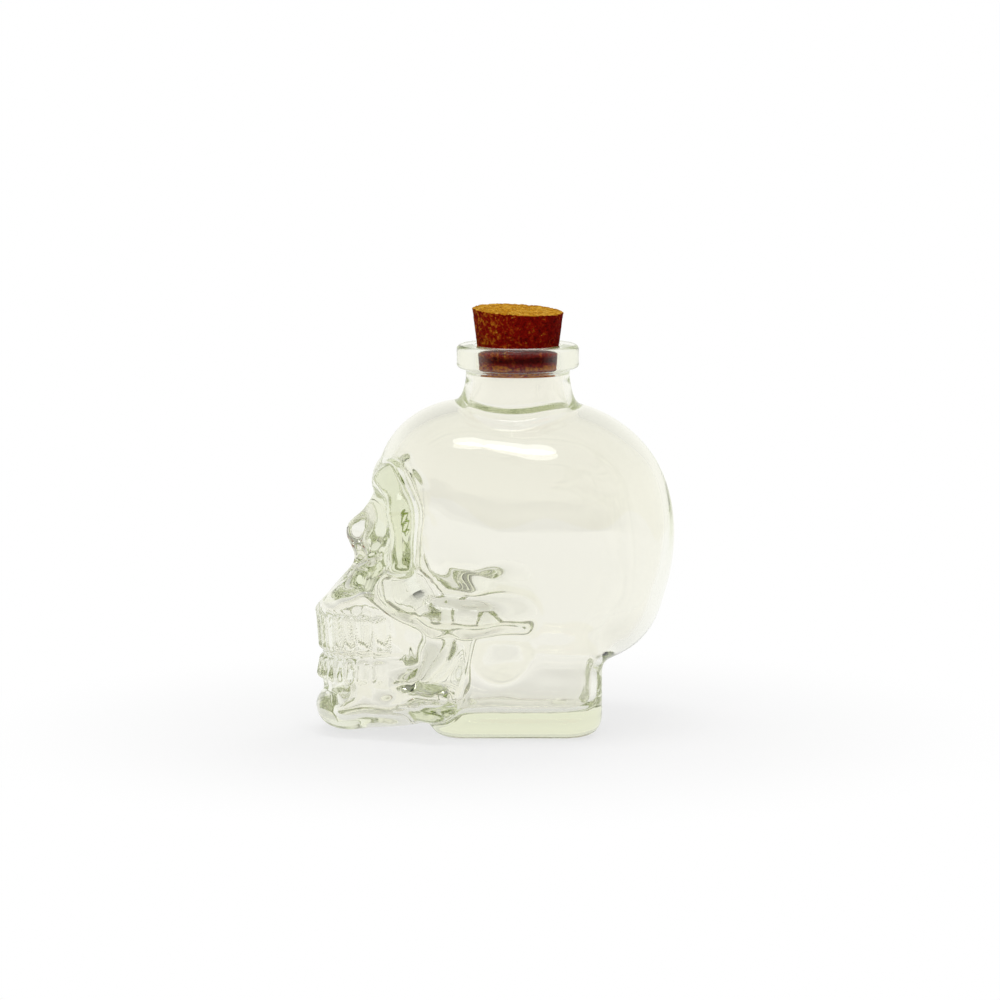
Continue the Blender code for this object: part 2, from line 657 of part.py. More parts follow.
def neck_and_lip_profile():
    # (radius, z) up the outside of the neck, over the lip and down the mouth
    lip_z = BOTTLE_HEIGHT - LIP_HEIGHT
    neck_z = CROWN_Z + NECK_FILLET
    profile = [(NECK_RADIUS, (neck_z + lip_z) / 2)]
    profile += arc(
        NECK_RADIUS + LIP_UNDER_FILLET, lip_z - LIP_UNDER_FILLET, LIP_UNDER_FILLET, 180, 90, 3
    )
    profile += arc(
        LIP_RADIUS - LIP_UNDER_ROUNDING, lip_z + LIP_UNDER_ROUNDING, LIP_UNDER_ROUNDING, -60, 0, 4
    )
    crown_z = BOTTLE_HEIGHT + LIP_TRIM
    profile += arc(LIP_RADIUS - LIP_TOP_ROUNDING, crown_z - LIP_TOP_ROUNDING, LIP_TOP_ROUNDING, 0, 90, 5)
    profile += arc(MOUTH_RADIUS + MOUTH_ROUNDING, crown_z - MOUTH_ROUNDING, MOUTH_ROUNDING, 90, 180, 4)
    mouth_z = BOTTLE_HEIGHT - MOUTH_LENGTH
    bore_z = CROWN_Z - WALL + NECK_FILLET
    profile.append((MOUTH_RADIUS, mouth_z))
    profile.append((BORE_RADIUS, mouth_z - BORE_STEP_HEIGHT))
    profile.append((BORE_RADIUS, bore_z + BORE_FLARE_HEIGHT))
    return profile


def raise_punt(points):
    # The foot's middle is raised, and its ring stays low for the trim that makes it flat
    low = points[:, 2] < FLAT_FOOT_SHARE * PUNT_DEPTH - FOOT_TRIM
    inwards = -foot_block(points * np.array([1, 1, 0])) - FOOT_RING_WIDTH
    share = np.clip(inwards / PUNT_SLOPE_WIDTH, 0, 1)
    rise = share * share * (3 - 2 * share) * (PUNT_DEPTH + FOOT_TRIM)
    points[low, 2] += rise[low]


def mesh_from_rings(name, rings, first_middle, last_middle):
    # A closed skin over the rings: a fan at each end and quads between
    columns = len(rings[0])
    corners = [tuple(first_middle)]
    for ring in rings:
        corners += [tuple(point) for point in ring]
    corners.append(tuple(last_middle))
    faces = [(0, 1 + (column + 1) % columns, 1 + column) for column in range(columns)]
    for row in range(len(rings) - 1):
        low = 1 + row * columns
        high = low + columns
        for column in range(columns):
            after = (column + 1) % columns
            faces.append((low + column, low + after, high + after, high + column))
    last = len(corners) - 1
    top = last - columns
    faces += [(top + column, top + (column + 1) % columns, last) for column in range(columns)]
    mesh = bpy.data.meshes.new(name)
    mesh.from_pydata(corners, [], faces)
    mesh.validate()
    mesh.update()
    return mesh


def material(name, color, roughness, transmission):
    made = bpy.data.materials.new(name)
    made.use_nodes = True
    shader = made.node_tree.nodes["Principled BSDF"]
    shader.inputs["Base Color"].default_value = (*color, 1)
    shader.inputs["Roughness"].default_value = roughness
    shader.inputs["Metallic"].default_value = 0
    shader.inputs["Transmission Weight"].default_value = transmission
    shader.inputs["IOR"].default_value = GLASS_IOR
    return made


def trim_block(name, cutters, low_z, high_z):
    # A wide flat cutter between two heights
    built = bmesh.new()
    bmesh.ops.create_cube(built, size=1)
    for vertex in built.verts:
        vertex.co.x *= 2 * REACH
        vertex.co.y *= 2 * REACH
        vertex.co.z = low_z if vertex.co.z < 0 else high_z
    mesh = bpy.data.meshes.new(name)
    built.to_mesh(mesh)
    built.free()
    cutter = bpy.data.objects.new(name, mesh)
    cutter.hide_render = True
    cutter.display_type = "WIRE"
    cutters.objects.link(cutter)
    return cutter


def glass_bottle(collection, cutters):
    outer = skull_rings(outside, OUTER_ROWS, COLUMNS, EVENING_ROUNDS)
    foot_middle = np.array([[0, LOW_MIDDLE_Y, -FOOT_TRIM]])
    for points in (foot_middle, *outer[: OUTER_ROWS[0]]):
        raise_punt(points)
    neck_z = CROWN_Z + NECK_FILLET
    outer += fillet_rings(*outer[-2:], NECK_RADIUS + NECK_FLARE, neck_z, 5, COLUMNS)
    outer += [round_ring(radius, z, COLUMNS) for radius, z in neck_and_lip_profile()]
    inner = skull_rings(inside, INNER_ROWS, COLUMNS, 0)
    bore_z = CROWN_Z - WALL + NECK_FILLET
    inner += fillet_rings(*inner[-2:], BORE_RADIUS + BORE_FLARE, bore_z, 4, COLUMNS)
    rings = outer + inner[::-1]
    floor_middle = (0, LOW_MIDDLE_Y, FLOOR_THICKNESS)
    mesh = mesh_from_rings("glass_bottle", rings, foot_middle[0], floor_middle)
    bottle = bpy.data.objects.new("glass_bottle", mesh)
    collection.objects.link(bottle)
    mesh.shade_smooth()
    mesh.materials.append(material("clear_glass", GLASS_COLOR, GLASS_ROUGHNESS, 1.0))
    thin = bottle.modifiers.new("fewer_faces", "DECIMATE")
    thin.ratio = MOST_FACES / (2 * len(rings) * COLUMNS)
    trims = (
        ("flat_foot", -TRIM_HEIGHT, 0),
        ("flat_lip", BOTTLE_HEIGHT, BOTTLE_HEIGHT + TRIM_HEIGHT),
    )
    for name, low_z, high_z in trims:
        trim = bottle.modifiers.new(name, "BOOLEAN")
        trim.operation = "DIFFERENCE"
        trim.object = trim_block(name, cutters, low_z, high_z)
    return bottle


def cork_stopper(collection):
    seat_z = BOTTLE_HEIGHT - MOUTH_ROUNDING
    seat_radius = MOUTH_RADIUS - CORK_GAP
    low_z = BOTTLE_HEIGHT - CORK_BELOW_LIP
    high_z = BOTTLE_HEIGHT + CORK_ABOVE_LIP
    low_radius = seat_radius + (low_z - seat_z) * CORK_TAPER
    high_radius = seat_radius + (high_z - seat_z) * CORK_TAPER
    built = bmesh.new()
    bmesh.ops.create_cone(
        built,
        cap_ends=True,
        segments=CORK_SIDES,
        radius1=low_radius,
        radius2=high_radius,
        depth=high_z - low_z,
    )
    for vertex in built.verts:
        if vertex.co.z > 0:
            vertex.co.z -= vertex.co.y * math.tan(CORK_TOP_SLOPE)
    mesh = bpy.data.meshes.new("cork_stopper")
    built.to_mesh(mesh)
    built.free()
    cork = bpy.data.objects.new("cork_stopper", mesh)
    cork.location = (0, NECK_MIDDLE_Y, (low_z + high_z) / 2)
    collection.objects.link(cork)
    mesh.materials.append(material("agglomerated_cork", CORK_COLOR, CORK_ROUGHNESS, 0.0))
    edge = cork.modifiers.new("worn_edge", "BEVEL")
    edge.width = CORK_EDGE
    edge.segments = 2
    edge.limit_method = "ANGLE"
    edge.angle_limit = CORK_SHARP_ANGLE
    mesh.shade_smooth()
    mesh.set_sharp_from_angle(angle=CORK_SHARP_ANGLE)
    return cork


def main():
    for item in list(bpy.data.objects):
        bpy.data.objects.remove(item)
    collection = bpy.data.collections.new("skull_bottle")
    cutters = bpy.data.collections.new("cutters")
    bpy.context.scene.collection.children.link(collection)
    bpy.context.scene.collection.children.link(cutters)
    glass_bottle(collection, cutters)
    cork_stopper(collection)


main()
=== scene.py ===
import bpy
import bmesh
import math
import numpy as np
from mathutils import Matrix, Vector, kdtree


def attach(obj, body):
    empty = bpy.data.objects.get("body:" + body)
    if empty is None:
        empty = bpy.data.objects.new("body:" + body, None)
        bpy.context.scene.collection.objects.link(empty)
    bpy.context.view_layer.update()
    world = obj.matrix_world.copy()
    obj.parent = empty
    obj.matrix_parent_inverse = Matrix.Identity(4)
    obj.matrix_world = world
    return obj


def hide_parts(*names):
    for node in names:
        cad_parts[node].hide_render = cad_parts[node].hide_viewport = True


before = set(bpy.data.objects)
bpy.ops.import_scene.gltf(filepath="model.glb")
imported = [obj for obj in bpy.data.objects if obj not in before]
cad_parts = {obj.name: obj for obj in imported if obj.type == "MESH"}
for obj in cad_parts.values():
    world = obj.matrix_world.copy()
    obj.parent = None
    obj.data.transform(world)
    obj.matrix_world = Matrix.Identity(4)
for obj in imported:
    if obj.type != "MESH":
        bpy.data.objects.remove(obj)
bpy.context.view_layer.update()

print("frame loaded:", sorted(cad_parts))

# All lengths are in metres. The face looks along -Y, and x = 0 is the skull's plane of symmetry.

# The bottle's foot, neck and lip, and how thick its glass is
glass = {
    "height": 0.0833,
    "footLength": 0.0370,
    "footWidth": 0.0310,
    "footMiddleY": 0.0045,
    "footCorner": 0.0080,
    "footRise": 0.0260,
    "footEdgeRounding": 0.0050,
    "footRingWidth": 0.0070,
    "puntDepth": 0.0010,
    "puntSlopeWidth": 0.0040,
    "groundReach": 0.00002,
    "neckMiddleY": 0.0050,
    "neckRadius": 0.0111,
    "neckFlare": 0.0006,
    "neckEase": 0.0022,
    "neckFillet": 0.0024,
    "lipRadius": 0.01305,
    "lipHeight": 0.0050,
    "lipTopRounding": 0.0010,
    "lipUnderRounding": 0.0009,
    "lipUnderStart": -60.0,
    "lipUnderFillet": 0.0008,
    "boreRadius": 0.0097,
    "boreFlare": 0.0008,
    "boreEase": 0.0035,
    "boreStepHeight": 0.0015,
    "mouthRadius": 0.0090,
    "mouthLength": 0.0048,
    "mouthRounding": 0.0006,
    "wall": 0.0024,
    "floorThickness": 0.0055,
    "chinFloorThickness": 0.0028,
    "chinFloorY": -0.0220,
    "floorSlopeLength": 0.0100,
    "floorSoftness": 0.0040,
    "faceWallBackY": -0.0193,
    "faceWallLowZ": 0.0335,
    "faceWallHighZ": 0.0545,
    "innerSoftness": 0.0060,
    "innerHollowTrim": 0.0006,
    "innerHollowSoftness": 0.0045,
}

# How softly one bone runs into the next
soft = {
    "bone": 0.0040,
    "base": 0.0060,
    "bar": 0.0030,
    "fine": 0.0020,
    "hollow": 0.0022,
    "rim": 0.0040,
    "mastoid": 0.0035,
    "gum": 0.0015,
    "chin": 0.0030,
    "tooth": 0.0005,
    "bite": 0.0008,
}

# The braincase, the same as the solid's
head = {
    "frontY": -0.0384,
    "backY": 0.0379,
    "width": 0.0530,
    "browY": -0.0253,
    "crownZ": 0.0716,
    "foreheadWidth": 0.0440,
    "foreheadRadius": 0.0218,
    "eminenceRadius": 0.0156,
    "eminenceZ": 0.0545,
    "eminenceSetback": 0.0010,
    "eminenceInset": 0.0025,
    "templeMiddle": (0, -0.0080, 0.0440),
    "templeRadii": (0.0175, 0.0120, 0.0180),
    "crownLength": 0.0560,
    "crownDepth": 0.0500,
    "occiputLength": 0.0420,
    "occiputDepth": 0.0445,
    "occiputWidth": 0.0420,
    "occiputUndersideZ": 0.0158,
    "baseMiddle": (0, 0.0020, 0.0260),
    "baseHalf": (0.01875, 0.0220, 0.0105),
    "baseCorner": 0.0095,
    "napeMiddle": (0, 0.0205, 0.0280),
    "napeRadii": (0.0165, 0.0140, 0.0122),
}

# Eye sockets, nose, cheekbones and the arches behind them
face = {
    "socketWidth": 0.0142,
    "socketHeight": 0.0150,
    "socketDepth": 0.0043,
    "socketStandoff": 0.0030,
    "socketMiddleX": 0.0111,
    "socketMiddleZ": 0.0462,
    "socketRim": 0.0022,
    "socketFlare": 1.16,
    "socketTurn": 14.0,
    "rimRise": 0.0010,
    "innerRimX": 0.0045,
    "browBendX": 0.0112,
    "browBendY": -0.0226,
    "outerRimX": 0.0160,
    "outerRimDrop": 0.0045,
    "outerRimTopY": -0.0206,
    "outerRimLowY": -0.0195,
    "nasionZ": 0.0500,
    "noseTipY": -0.0312,
    "noseTipZ": 0.0430,
    "noseBridgeRadius": 0.0030,
    "noseHollowWidth": 0.0048,
    "noseHollowHeight": 0.0085,
    "noseHollowDepth": 0.0044,
    "noseHollowX": 0.0034,
    "noseHollowZ": 0.0377,
    "noseHollowStandoff": 0.0010,
    "noseRootSet": 0.0005,
    "noseRootTrim": 0.0004,
    "noseBaseRadius": 0.0045,
    "noseBaseDrop": 0.0070,
    "noseBaseSetback": 0.0040,
    "faceY": -0.0292,
    "faceWidth": 0.0300,
    "faceDepth": 0.0125,
    "faceHeight": 0.0280,
    "faceZ": 0.0370,
    "cheekX": 0.0160,
    "cheekZ": 0.0315,
    "cheekRadius": 0.0036,
    "cheekRise": 0.0030,
    "cheekInnerX": 0.0090,
    "cheekInnerRadius": 0.0026,
    "cheekInnerSetback": 0.0035,
    "cheekInnerRise": 0.0035,
    "cheekHollowTop": (0.0185, -0.0215, 0.0225),
    "cheekHollowLow": (0.0160, -0.0240, 0.0130),
    "cheekHollowTopRadius": 0.0036,
    "cheekHollowLowRadius": 0.0030,
    "archFront": (0.0200, -0.0125, 0.0274),
    "archMiddle": (0.0212, -0.0040, 0.0270),
    "archEnd": (0.0190, 0.0050, 0.0278),
    "archRadius": 0.0022,
    "mastoidMiddle": (0.0145, 0.0015, 0.0195),
    "mastoidRadii": (0.0042, 0.0052, 0.0062),
}

# Jaws and teeth
jaws = {
    "archFrontY": -0.0372,
    "archMiddleY": -0.0205,
    "archWidth": 0.0236,
    "gumTopZ": 0.0300,
    "gumSlopeSet": 0.0018,
    "gumRidgeZ": 0.0262,
    "gumRidgeHeight": 0.0090,
    "gumRidgeInset": 0.0010,
    "lowZ": 0.0035,
    "throatMiddle": (0, -0.0060, 0.0130),
    "throatRadii": (0.0158, 0.0130, 0.0125),
    "biteZ": 0.0173,
    "upperToothHeight": 0.0085,
    "lowerToothHeight": 0.0045,
    "toothWidths": (0.0030, 0.0025, 0.0028, 0.0025, 0.0025, 0.0036, 0.0034),
    "toothProuds": (0.0006, 0.0006, 0.0008, 0.0010, 0.0011, 0.0012, 0.0011),
    "toothFullness": 0.52,
    "toothRounding": 0.8,
    "lowerToothShare": 0.92,
    "upperRootShare": 0.84,
    "lowerRootShare": 0.80,
    "toothLean": 0.0007,
    "biteHalfGap": 0.0003,
    "biteRadius": 0.0007,
    "biteOffset": 0.0004,
    "mouthBackMargin": 0.0060,
    "biteBackMargin": 0.0010,
    "chinY": -0.0376,
    "chinClearance": 0.0003,
    "chinHalfWidth": 0.0050,
    "chinRadius": 0.0056,
    "chinCornerSetback": 0.0010,
    "chinGrooveMiddle": (0, -0.0384, 0.0095),
    "chinGrooveEnd": (0.0100, -0.0345, 0.0105),
    "chinGrooveRadius": 0.0014,
    "chinGrooveEndRadius": 0.0012,
    "angle": (0.0155, -0.0125, 0.0092),
    "radius": 0.0044,
    "ramusTop": (0.0185, -0.0085, 0.0270),
    "ramusTopRadius": 0.0034,
}

# How fine the glass is made: rings below, round and above the head's middle, points on each ring,
# and how the rings and points are spread
fineness = {
    "outerRows": (44, 130, 76),
    "innerRows": (24, 60, 34),
    "columns": 300,
    "filletRings": 16,
    "neckRows": (0.33, 0.67),
    "lipRows": (7, 8, 12, 8),
    "boreStepRows": (0, 0.15, 0.5, 0.85, 1),
    "eveningRounds": 18,
    "halvings": 20,
    "lowRingSpread": 1.4,
    "highRingSpread": 1.3,
    "coreSpread": 1.5,
    "faceCrowding": 0.55,
    "leastSlope": 1e-9,
    "slopeStep": 0.00001,
    "leastSteepness": 0.25,
    "archSteps": 400,
}

# The slow waves on the inside of the glass: how high, and how many radians to the metre
innerWave = {
    "height": 0.00007,
    "firstY": 310,
    "firstZ": 270,
    "shift": 1.3,
    "secondX": 350,
    "secondZ": 190,
}

# Where the straight lines that find the glass's surface start
core = {
    "lowY": -0.0050,
    "lowZ": 0.0090,
    "driftLowZ": 0.0140,
    "driftHighZ": 0.0340,
    "highX": 0.0105,
    "highY": 0.0140,
    "highZ": 0.0450,
    "reach": 0.0800,
}


def vectorLength(vectors):
    return np.sqrt((vectors * vectors).sum(axis=-1))


def between(low, high, share):
    return low + (high - low) * share


def eased(share):
    # Leaves 0 and comes to 1 without a kink
    return share * share * (3 - 2 * share)


def levelDirections(angles):
    # One level direction for each angle, measured from the face towards +X
    return np.stack([np.sin(angles), -np.cos(angles), np.zeros(len(angles))], axis=1)


def ellipsoid(points, middle, radii):
    away = points - np.array(middle)
    radii = np.array(radii)
    share = vectorLength(away / radii)
    slope = np.maximum(vectorLength(away / radii**2), fineness["leastSlope"])
    return share * (share - 1) / slope


def taperedBar(points, start, end, startRadius, endRadius):
    start = np.array(start)
    along = np.array(end) - start
    share = np.clip((points - start) @ along / (along @ along), 0, 1)
    nearest = start + share[:, None] * along
    return vectorLength(points - nearest) - between(startRadius, endRadius, share)


def roundedBlock(points, middle, half, corner):
    beyond = np.abs(points - np.array(middle)) - (np.array(half) - corner)
    outside = vectorLength(np.maximum(beyond, 0))
    return outside + np.minimum(beyond.max(axis=1), 0) - corner


def blend(first, second, softness):
    share = np.clip(0.5 + 0.5 * (second - first) / softness, 0, 1)
    return between(second, first, share) - softness * share * (1 - share)


def carve(body, hollow, softness):
    return -blend(-body, hollow, softness)


def mirrored(points):
    return np.stack([np.abs(points[:, 0]), points[:, 1], points[:, 2]], axis=1)


def craniumForm(points):
    h = head
    forehead = ellipsoid(
        points,
        (0, h["browY"] + h["foreheadRadius"], h["crownZ"] - h["foreheadRadius"]),
        (h["foreheadWidth"] / 2, h["foreheadRadius"], h["foreheadRadius"]),
    )
    crown = ellipsoid(
        points,
        (0, h["backY"] - h["crownLength"] / 2, h["crownZ"] - h["crownDepth"] / 2),
        (h["width"] / 2, h["crownLength"] / 2, h["crownDepth"] / 2),
    )
    occiput = ellipsoid(
        points,
        (0, h["backY"] - h["occiputLength"] / 2, h["occiputUndersideZ"] + h["occiputDepth"] / 2),
        (h["occiputWidth"] / 2, h["occiputLength"] / 2, h["occiputDepth"] / 2),
    )
    eminence = ellipsoid(
        points,
        (0, h["browY"] + h["eminenceSetback"] + h["eminenceRadius"], h["eminenceZ"]),
        (h["foreheadWidth"] / 2 - h["eminenceInset"], h["eminenceRadius"], h["eminenceRadius"]),
    )
    form = blend(crown, forehead, soft["bone"])
    form = blend(form, eminence, soft["bar"])
    form = blend(form, ellipsoid(points, h["templeMiddle"], h["templeRadii"]), soft["bone"])
    form = blend(form, occiput, soft["bone"])
    form = blend(form, ellipsoid(points, h["napeMiddle"], h["napeRadii"]), soft["bar"])
    base = roundedBlock(points, h["baseMiddle"], h["baseHalf"], h["baseCorner"])
    return blend(form, base, soft["base"])


def offDentalArch(points):
    # How far outside the upright column that stands on the dental arch
    j = jaws
    flat = points * np.array([1, 1, 0])
    radii = (j["archWidth"] / 2, j["archMiddleY"] - j["archFrontY"], 1)
    return ellipsoid(flat, (0, j["archMiddleY"], 0), radii)


def faceAndJawsForm(points):
    f, j = face, jaws
    midface = ellipsoid(
        points,
        (0, f["faceY"] + f["faceDepth"], f["faceZ"]),
        (f["faceWidth"] / 2, f["faceDepth"], f["faceHeight"] / 2),
    )
    slope = j["archFrontY"] - points[:, 1] + points[:, 2] - j["gumTopZ"] + j["gumSlopeSet"]
    column = carve(offDentalArch(points), -slope / math.sqrt(2), soft["fine"])
    ridgeMiddleY = j["archMiddleY"] - j["gumRidgeInset"]
    gumRidge = ellipsoid(
        points,
        (0, ridgeMiddleY, j["gumRidgeZ"]),
        (
            j["archWidth"] / 2 - j["gumRidgeInset"],
            ridgeMiddleY - head["frontY"],
            j["gumRidgeHeight"] / 2,
        ),
    )
    column = blend(column, gumRidge, soft["gum"])
    column = carve(column, points[:, 2] - j["lowZ"], soft["bone"])
    throat = ellipsoid(points, j["throatMiddle"], j["throatRadii"])
    return blend(blend(midface, column, soft["bone"]), throat, soft["bone"])


def addLowerJaw(form, sides):
    # x is positive in sides, so a bone written once stands on both sides
    j = jaws
    chinZ = j["chinRadius"] + j["chinClearance"]
    middle = (0, j["chinY"] + j["chinRadius"], chinZ)
    corner = (j["chinHalfWidth"], middle[1] + j["chinCornerSetback"], chinZ)
    jaw = taperedBar(sides, corner, j["angle"], j["chinRadius"], j["radius"])
    chin = taperedBar(sides, middle, corner, j["chinRadius"], j["chinRadius"])
    return blend(blend(form, jaw, soft["bone"]), chin, soft["chin"])


def addRimsAndCheeks(form, sides):
    f = face
    rim = f["socketRim"]
    socketTopZ = f["socketMiddleZ"] + f["socketHeight"] / 2
    browInner = (f["innerRimX"], head["browY"] + rim, socketTopZ + f["rimRise"])
    browBend = (f["browBendX"], f["browBendY"], socketTopZ + f["rimRise"])
    outerTop = (f["outerRimX"], f["outerRimTopY"], socketTopZ - f["outerRimDrop"])
    outerLow = (f["outerRimX"], f["outerRimLowY"], f["cheekZ"] + f["cheekRise"])
    cheek = (f["cheekX"], f["outerRimLowY"], f["cheekZ"])
    cheekInner = (
        f["cheekInnerX"],
        f["faceY"] + f["cheekInnerSetback"],
        f["cheekZ"] + f["cheekInnerRise"],
    )
    bars = (
        (jaws["angle"], jaws["ramusTop"], jaws["radius"], jaws["ramusTopRadius"], soft["bar"]),
        (browInner, browBend, rim, rim, soft["rim"]),
        (browBend, outerTop, rim, rim, soft["rim"]),
        (outerTop, outerLow, rim, rim, soft["rim"]),
        (cheek, cheekInner, f["cheekRadius"], f["cheekInnerRadius"], soft["bar"]),
        (cheek, f["archFront"], f["cheekRadius"], f["archRadius"], soft["bone"]),
        (f["archFront"], f["archMiddle"], f["archRadius"], f["archRadius"], soft["bar"]),
        (f["archMiddle"], f["archEnd"], f["archRadius"], f["archRadius"], soft["bone"]),
    )
    for start, end, startRadius, endRadius, softness in bars:
        form = blend(form, taperedBar(sides, start, end, startRadius, endRadius), softness)
    return blend(form, ellipsoid(sides, f["mastoidMiddle"], f["mastoidRadii"]), soft["mastoid"])


def addNose(form, sides):
    f = face
    radius = f["noseBridgeRadius"]
    root = (0, head["browY"] + radius - f["noseRootSet"], f["nasionZ"])
    tip = (0, f["noseTipY"] + radius, f["noseTipZ"])
    base = (0, f["faceY"] + f["noseBaseSetback"], f["noseTipZ"] - f["noseBaseDrop"])
    bridge = taperedBar(sides, root, tip, radius - f["noseRootTrim"], radius)
    below = taperedBar(sides, tip, base, radius, f["noseBaseRadius"])
    return blend(blend(form, bridge, soft["fine"]), below, soft["fine"])


def carveHollows(form, sides, grow, softness):
    # grow widens each hollow for the inside of the glass, and softness rounds its edges
    f, j = face, jaws
    turn = math.radians(f["socketTurn"])
    socketY = head["browY"] - f["socketStandoff"]
    away = sides - np.array([f["socketMiddleX"], socketY, f["socketMiddleZ"]])
    turned = np.stack(
        [
            away[:, 0] * math.cos(turn) + away[:, 1] * math.sin(turn),
            away[:, 1] * math.cos(turn) - away[:, 0] * math.sin(turn),
            away[:, 2],
        ],
        axis=1,
    )
    socketRadii = (
        f["socketWidth"] / 2 * f["socketFlare"] + grow,
        f["socketDepth"] + f["socketStandoff"] + grow,
        f["socketHeight"] / 2 * f["socketFlare"] + grow,
    )
    form = carve(form, ellipsoid(turned, (0, 0, 0), socketRadii), softness)
    nostril = ellipsoid(
        sides,
        (f["noseHollowX"], f["faceY"] - f["noseHollowStandoff"], f["noseHollowZ"]),
        (
            f["noseHollowWidth"] / 2 + grow,
            f["noseHollowDepth"] + grow,
            f["noseHollowHeight"] / 2 + grow,
        ),
    )
    form = carve(form, nostril, softness)
    cheekHollow = taperedBar(
        sides,
        f["cheekHollowTop"],
        f["cheekHollowLow"],
        f["cheekHollowTopRadius"] + grow,
        f["cheekHollowLowRadius"] + grow,
    )
    form = carve(form, cheekHollow, softness)
    chinGroove = taperedBar(
        sides,
        j["chinGrooveMiddle"],
        j["chinGrooveEnd"],
        j["chinGrooveRadius"],
        j["chinGrooveEndRadius"],
    )
    return carve(form, chinGroove, softness)


def toothPlaces():
    # The middle of each tooth on one side, walked along the dental arch from the midline
    j = jaws
    back = j["archMiddleY"] - j["archFrontY"]
    angles = np.linspace(0, math.pi / 2, fineness["archSteps"])
    halfWidth = j["archWidth"] / 2
    archY = j["archMiddleY"] - back * np.cos(angles)
    arch = np.column_stack([halfWidth * np.sin(angles), archY])
    walked = np.concatenate([[0], np.cumsum(vectorLength(np.diff(arch, axis=0)))])
    places = []
    edge = 0
    for width in j["toothWidths"]:
        middle = edge + width / 2
        x = np.interp(middle, walked, arch[:, 0])
        y = np.interp(middle, walked, arch[:, 1])
        normal = np.array([x / halfWidth**2, (y - j["archMiddleY"]) / back**2])
        places.append((x, y, normal / np.linalg.norm(normal), width))
        edge += width
    return places


def addTeeth(form, sides):
    j = jaws
    for (x, y, normal, width), proud in zip(toothPlaces(), j["toothProuds"]):
        radius = width * j["toothFullness"]
        inset = radius - proud
        middleX = x - normal[0] * inset
        middleY = y - normal[1] * inset
        edge = j["biteHalfGap"] + radius * j["toothRounding"]
        upperZ = j["biteZ"] + j["upperToothHeight"] - edge / 2
        lowerZ = j["biteZ"] - j["lowerToothHeight"]
        lowerRadius = radius * j["lowerToothShare"]
        crowns = (
            (j["biteZ"] + edge, upperZ, radius, radius * j["upperRootShare"]),
            (j["biteZ"] - edge, lowerZ, lowerRadius, radius * j["lowerRootShare"]),
        )
        rootX = middleX + normal[0] * j["toothLean"]
        rootY = middleY + normal[1] * j["toothLean"]
        for nearZ, farZ, nearRadius, farRadius in crowns:
            near = (middleX, middleY, nearZ)
            far = (rootX, rootY, farZ)
            form = blend(form, taperedBar(sides, near, far, nearRadius, farRadius), soft["tooth"])
    return form


def carveBiteLine(form, points):
    j = jaws
    inFront = points[:, 1] - (j["archMiddleY"] + j["biteBackMargin"])
    offLine = np.hypot(offDentalArch(points) - j["biteOffset"], points[:, 2] - j["biteZ"])
    return carve(form, np.maximum(offLine - j["biteRadius"], inFront), soft["bite"])


def footBlock(points):
    half = (glass["footWidth"] / 2, glass["footLength"] / 2, glass["footRise"])
    return roundedBlock(points, (0, glass["footMiddleY"], 0), half, glass["footCorner"])


def outsideForm(points):
    sides = mirrored(points)
    form = blend(craniumForm(points), faceAndJawsForm(points), soft["bone"])
    form = addLowerJaw(form, sides)
    form = addRimsAndCheeks(form, sides)
    form = addNose(form, sides)
    form = carveHollows(form, sides, 0, soft["hollow"])
    mouth = points[:, 1] < jaws["archMiddleY"] + jaws["mouthBackMargin"]
    mouth &= points[:, 2] < jaws["gumTopZ"]
    form[mouth] = carveBiteLine(addTeeth(form[mouth], sides[mouth]), points[mouth])
    form = blend(form, footBlock(points), soft["fine"])
    return carve(form, points[:, 2], glass["footEdgeRounding"])


def insideForm(points):
    # The inside of blown glass is softer than the mould's side, so the rims, the nose, the arches
    # and the teeth are thick glass, and the face has a thick upright wall at the sockets
    g = glass
    sides = mirrored(points)
    form = blend(craniumForm(points), faceAndJawsForm(points), g["innerSoftness"])
    form = addLowerJaw(form, sides)
    form = carveHollows(form, sides, -g["innerHollowTrim"], g["innerHollowSoftness"])
    form = blend(form, footBlock(points), g["innerSoftness"])
    x, y, z = points.T
    w = innerWave
    waves = np.sin(y * w["firstY"] + w["shift"]) * np.sin(z * w["firstZ"])
    waves += np.sin(x * w["secondX"] + z * w["secondZ"])
    form = form + g["wall"] + waves * w["height"]
    halfHeight = (g["faceWallHighZ"] - g["faceWallLowZ"]) / 2
    faceWall = roundedBlock(
        points,
        (0, g["faceWallBackY"] - halfHeight, g["faceWallLowZ"] + halfHeight),
        (head["width"], halfHeight, halfHeight),
        soft["bar"],
    )
    form = carve(form, faceWall, soft["bar"])
    share = eased(np.clip((y - g["chinFloorY"]) / g["floorSlopeLength"], 0, 1))
    floorZ = between(g["chinFloorThickness"], g["floorThickness"], share)
    return carve(form, z - floorZ, g["floorSoftness"])


def coreOfRings(rows):
    # For each ring: half the core's width and length, the core's y and z, and the lines' climb
    low, middle, high = rows
    f = fineness
    drift = core["driftHighZ"] - core["driftLowZ"]
    rings = []
    for step in range(1, low + 1):
        climb = -math.pi / 2 * (1 - step / low) ** f["lowRingSpread"]
        rings.append((0, 0, core["lowY"], core["lowZ"], climb))
    for step in range(1, middle + 1):
        rise = core["lowZ"] + (core["highZ"] - core["lowZ"]) * step / middle
        share = eased(min(1, max(0, (rise - core["driftLowZ"]) / drift)))
        y = between(core["lowY"], core["highY"], share)
        rings.append((core["highX"] * share, 0, y, rise, 0))
    shoulder = glass["neckRadius"] + glass["neckFillet"]
    for step in range(1, high + 1):
        share = (step / high) ** f["highRingSpread"]
        spread = share ** f["coreSpread"]
        halfWidth = between(core["highX"], shoulder, spread)
        y = between(core["highY"], glass["neckMiddleY"], share)
        rings.append((halfWidth, shoulder * spread, y, core["highZ"], math.pi / 2 * share))
    return rings


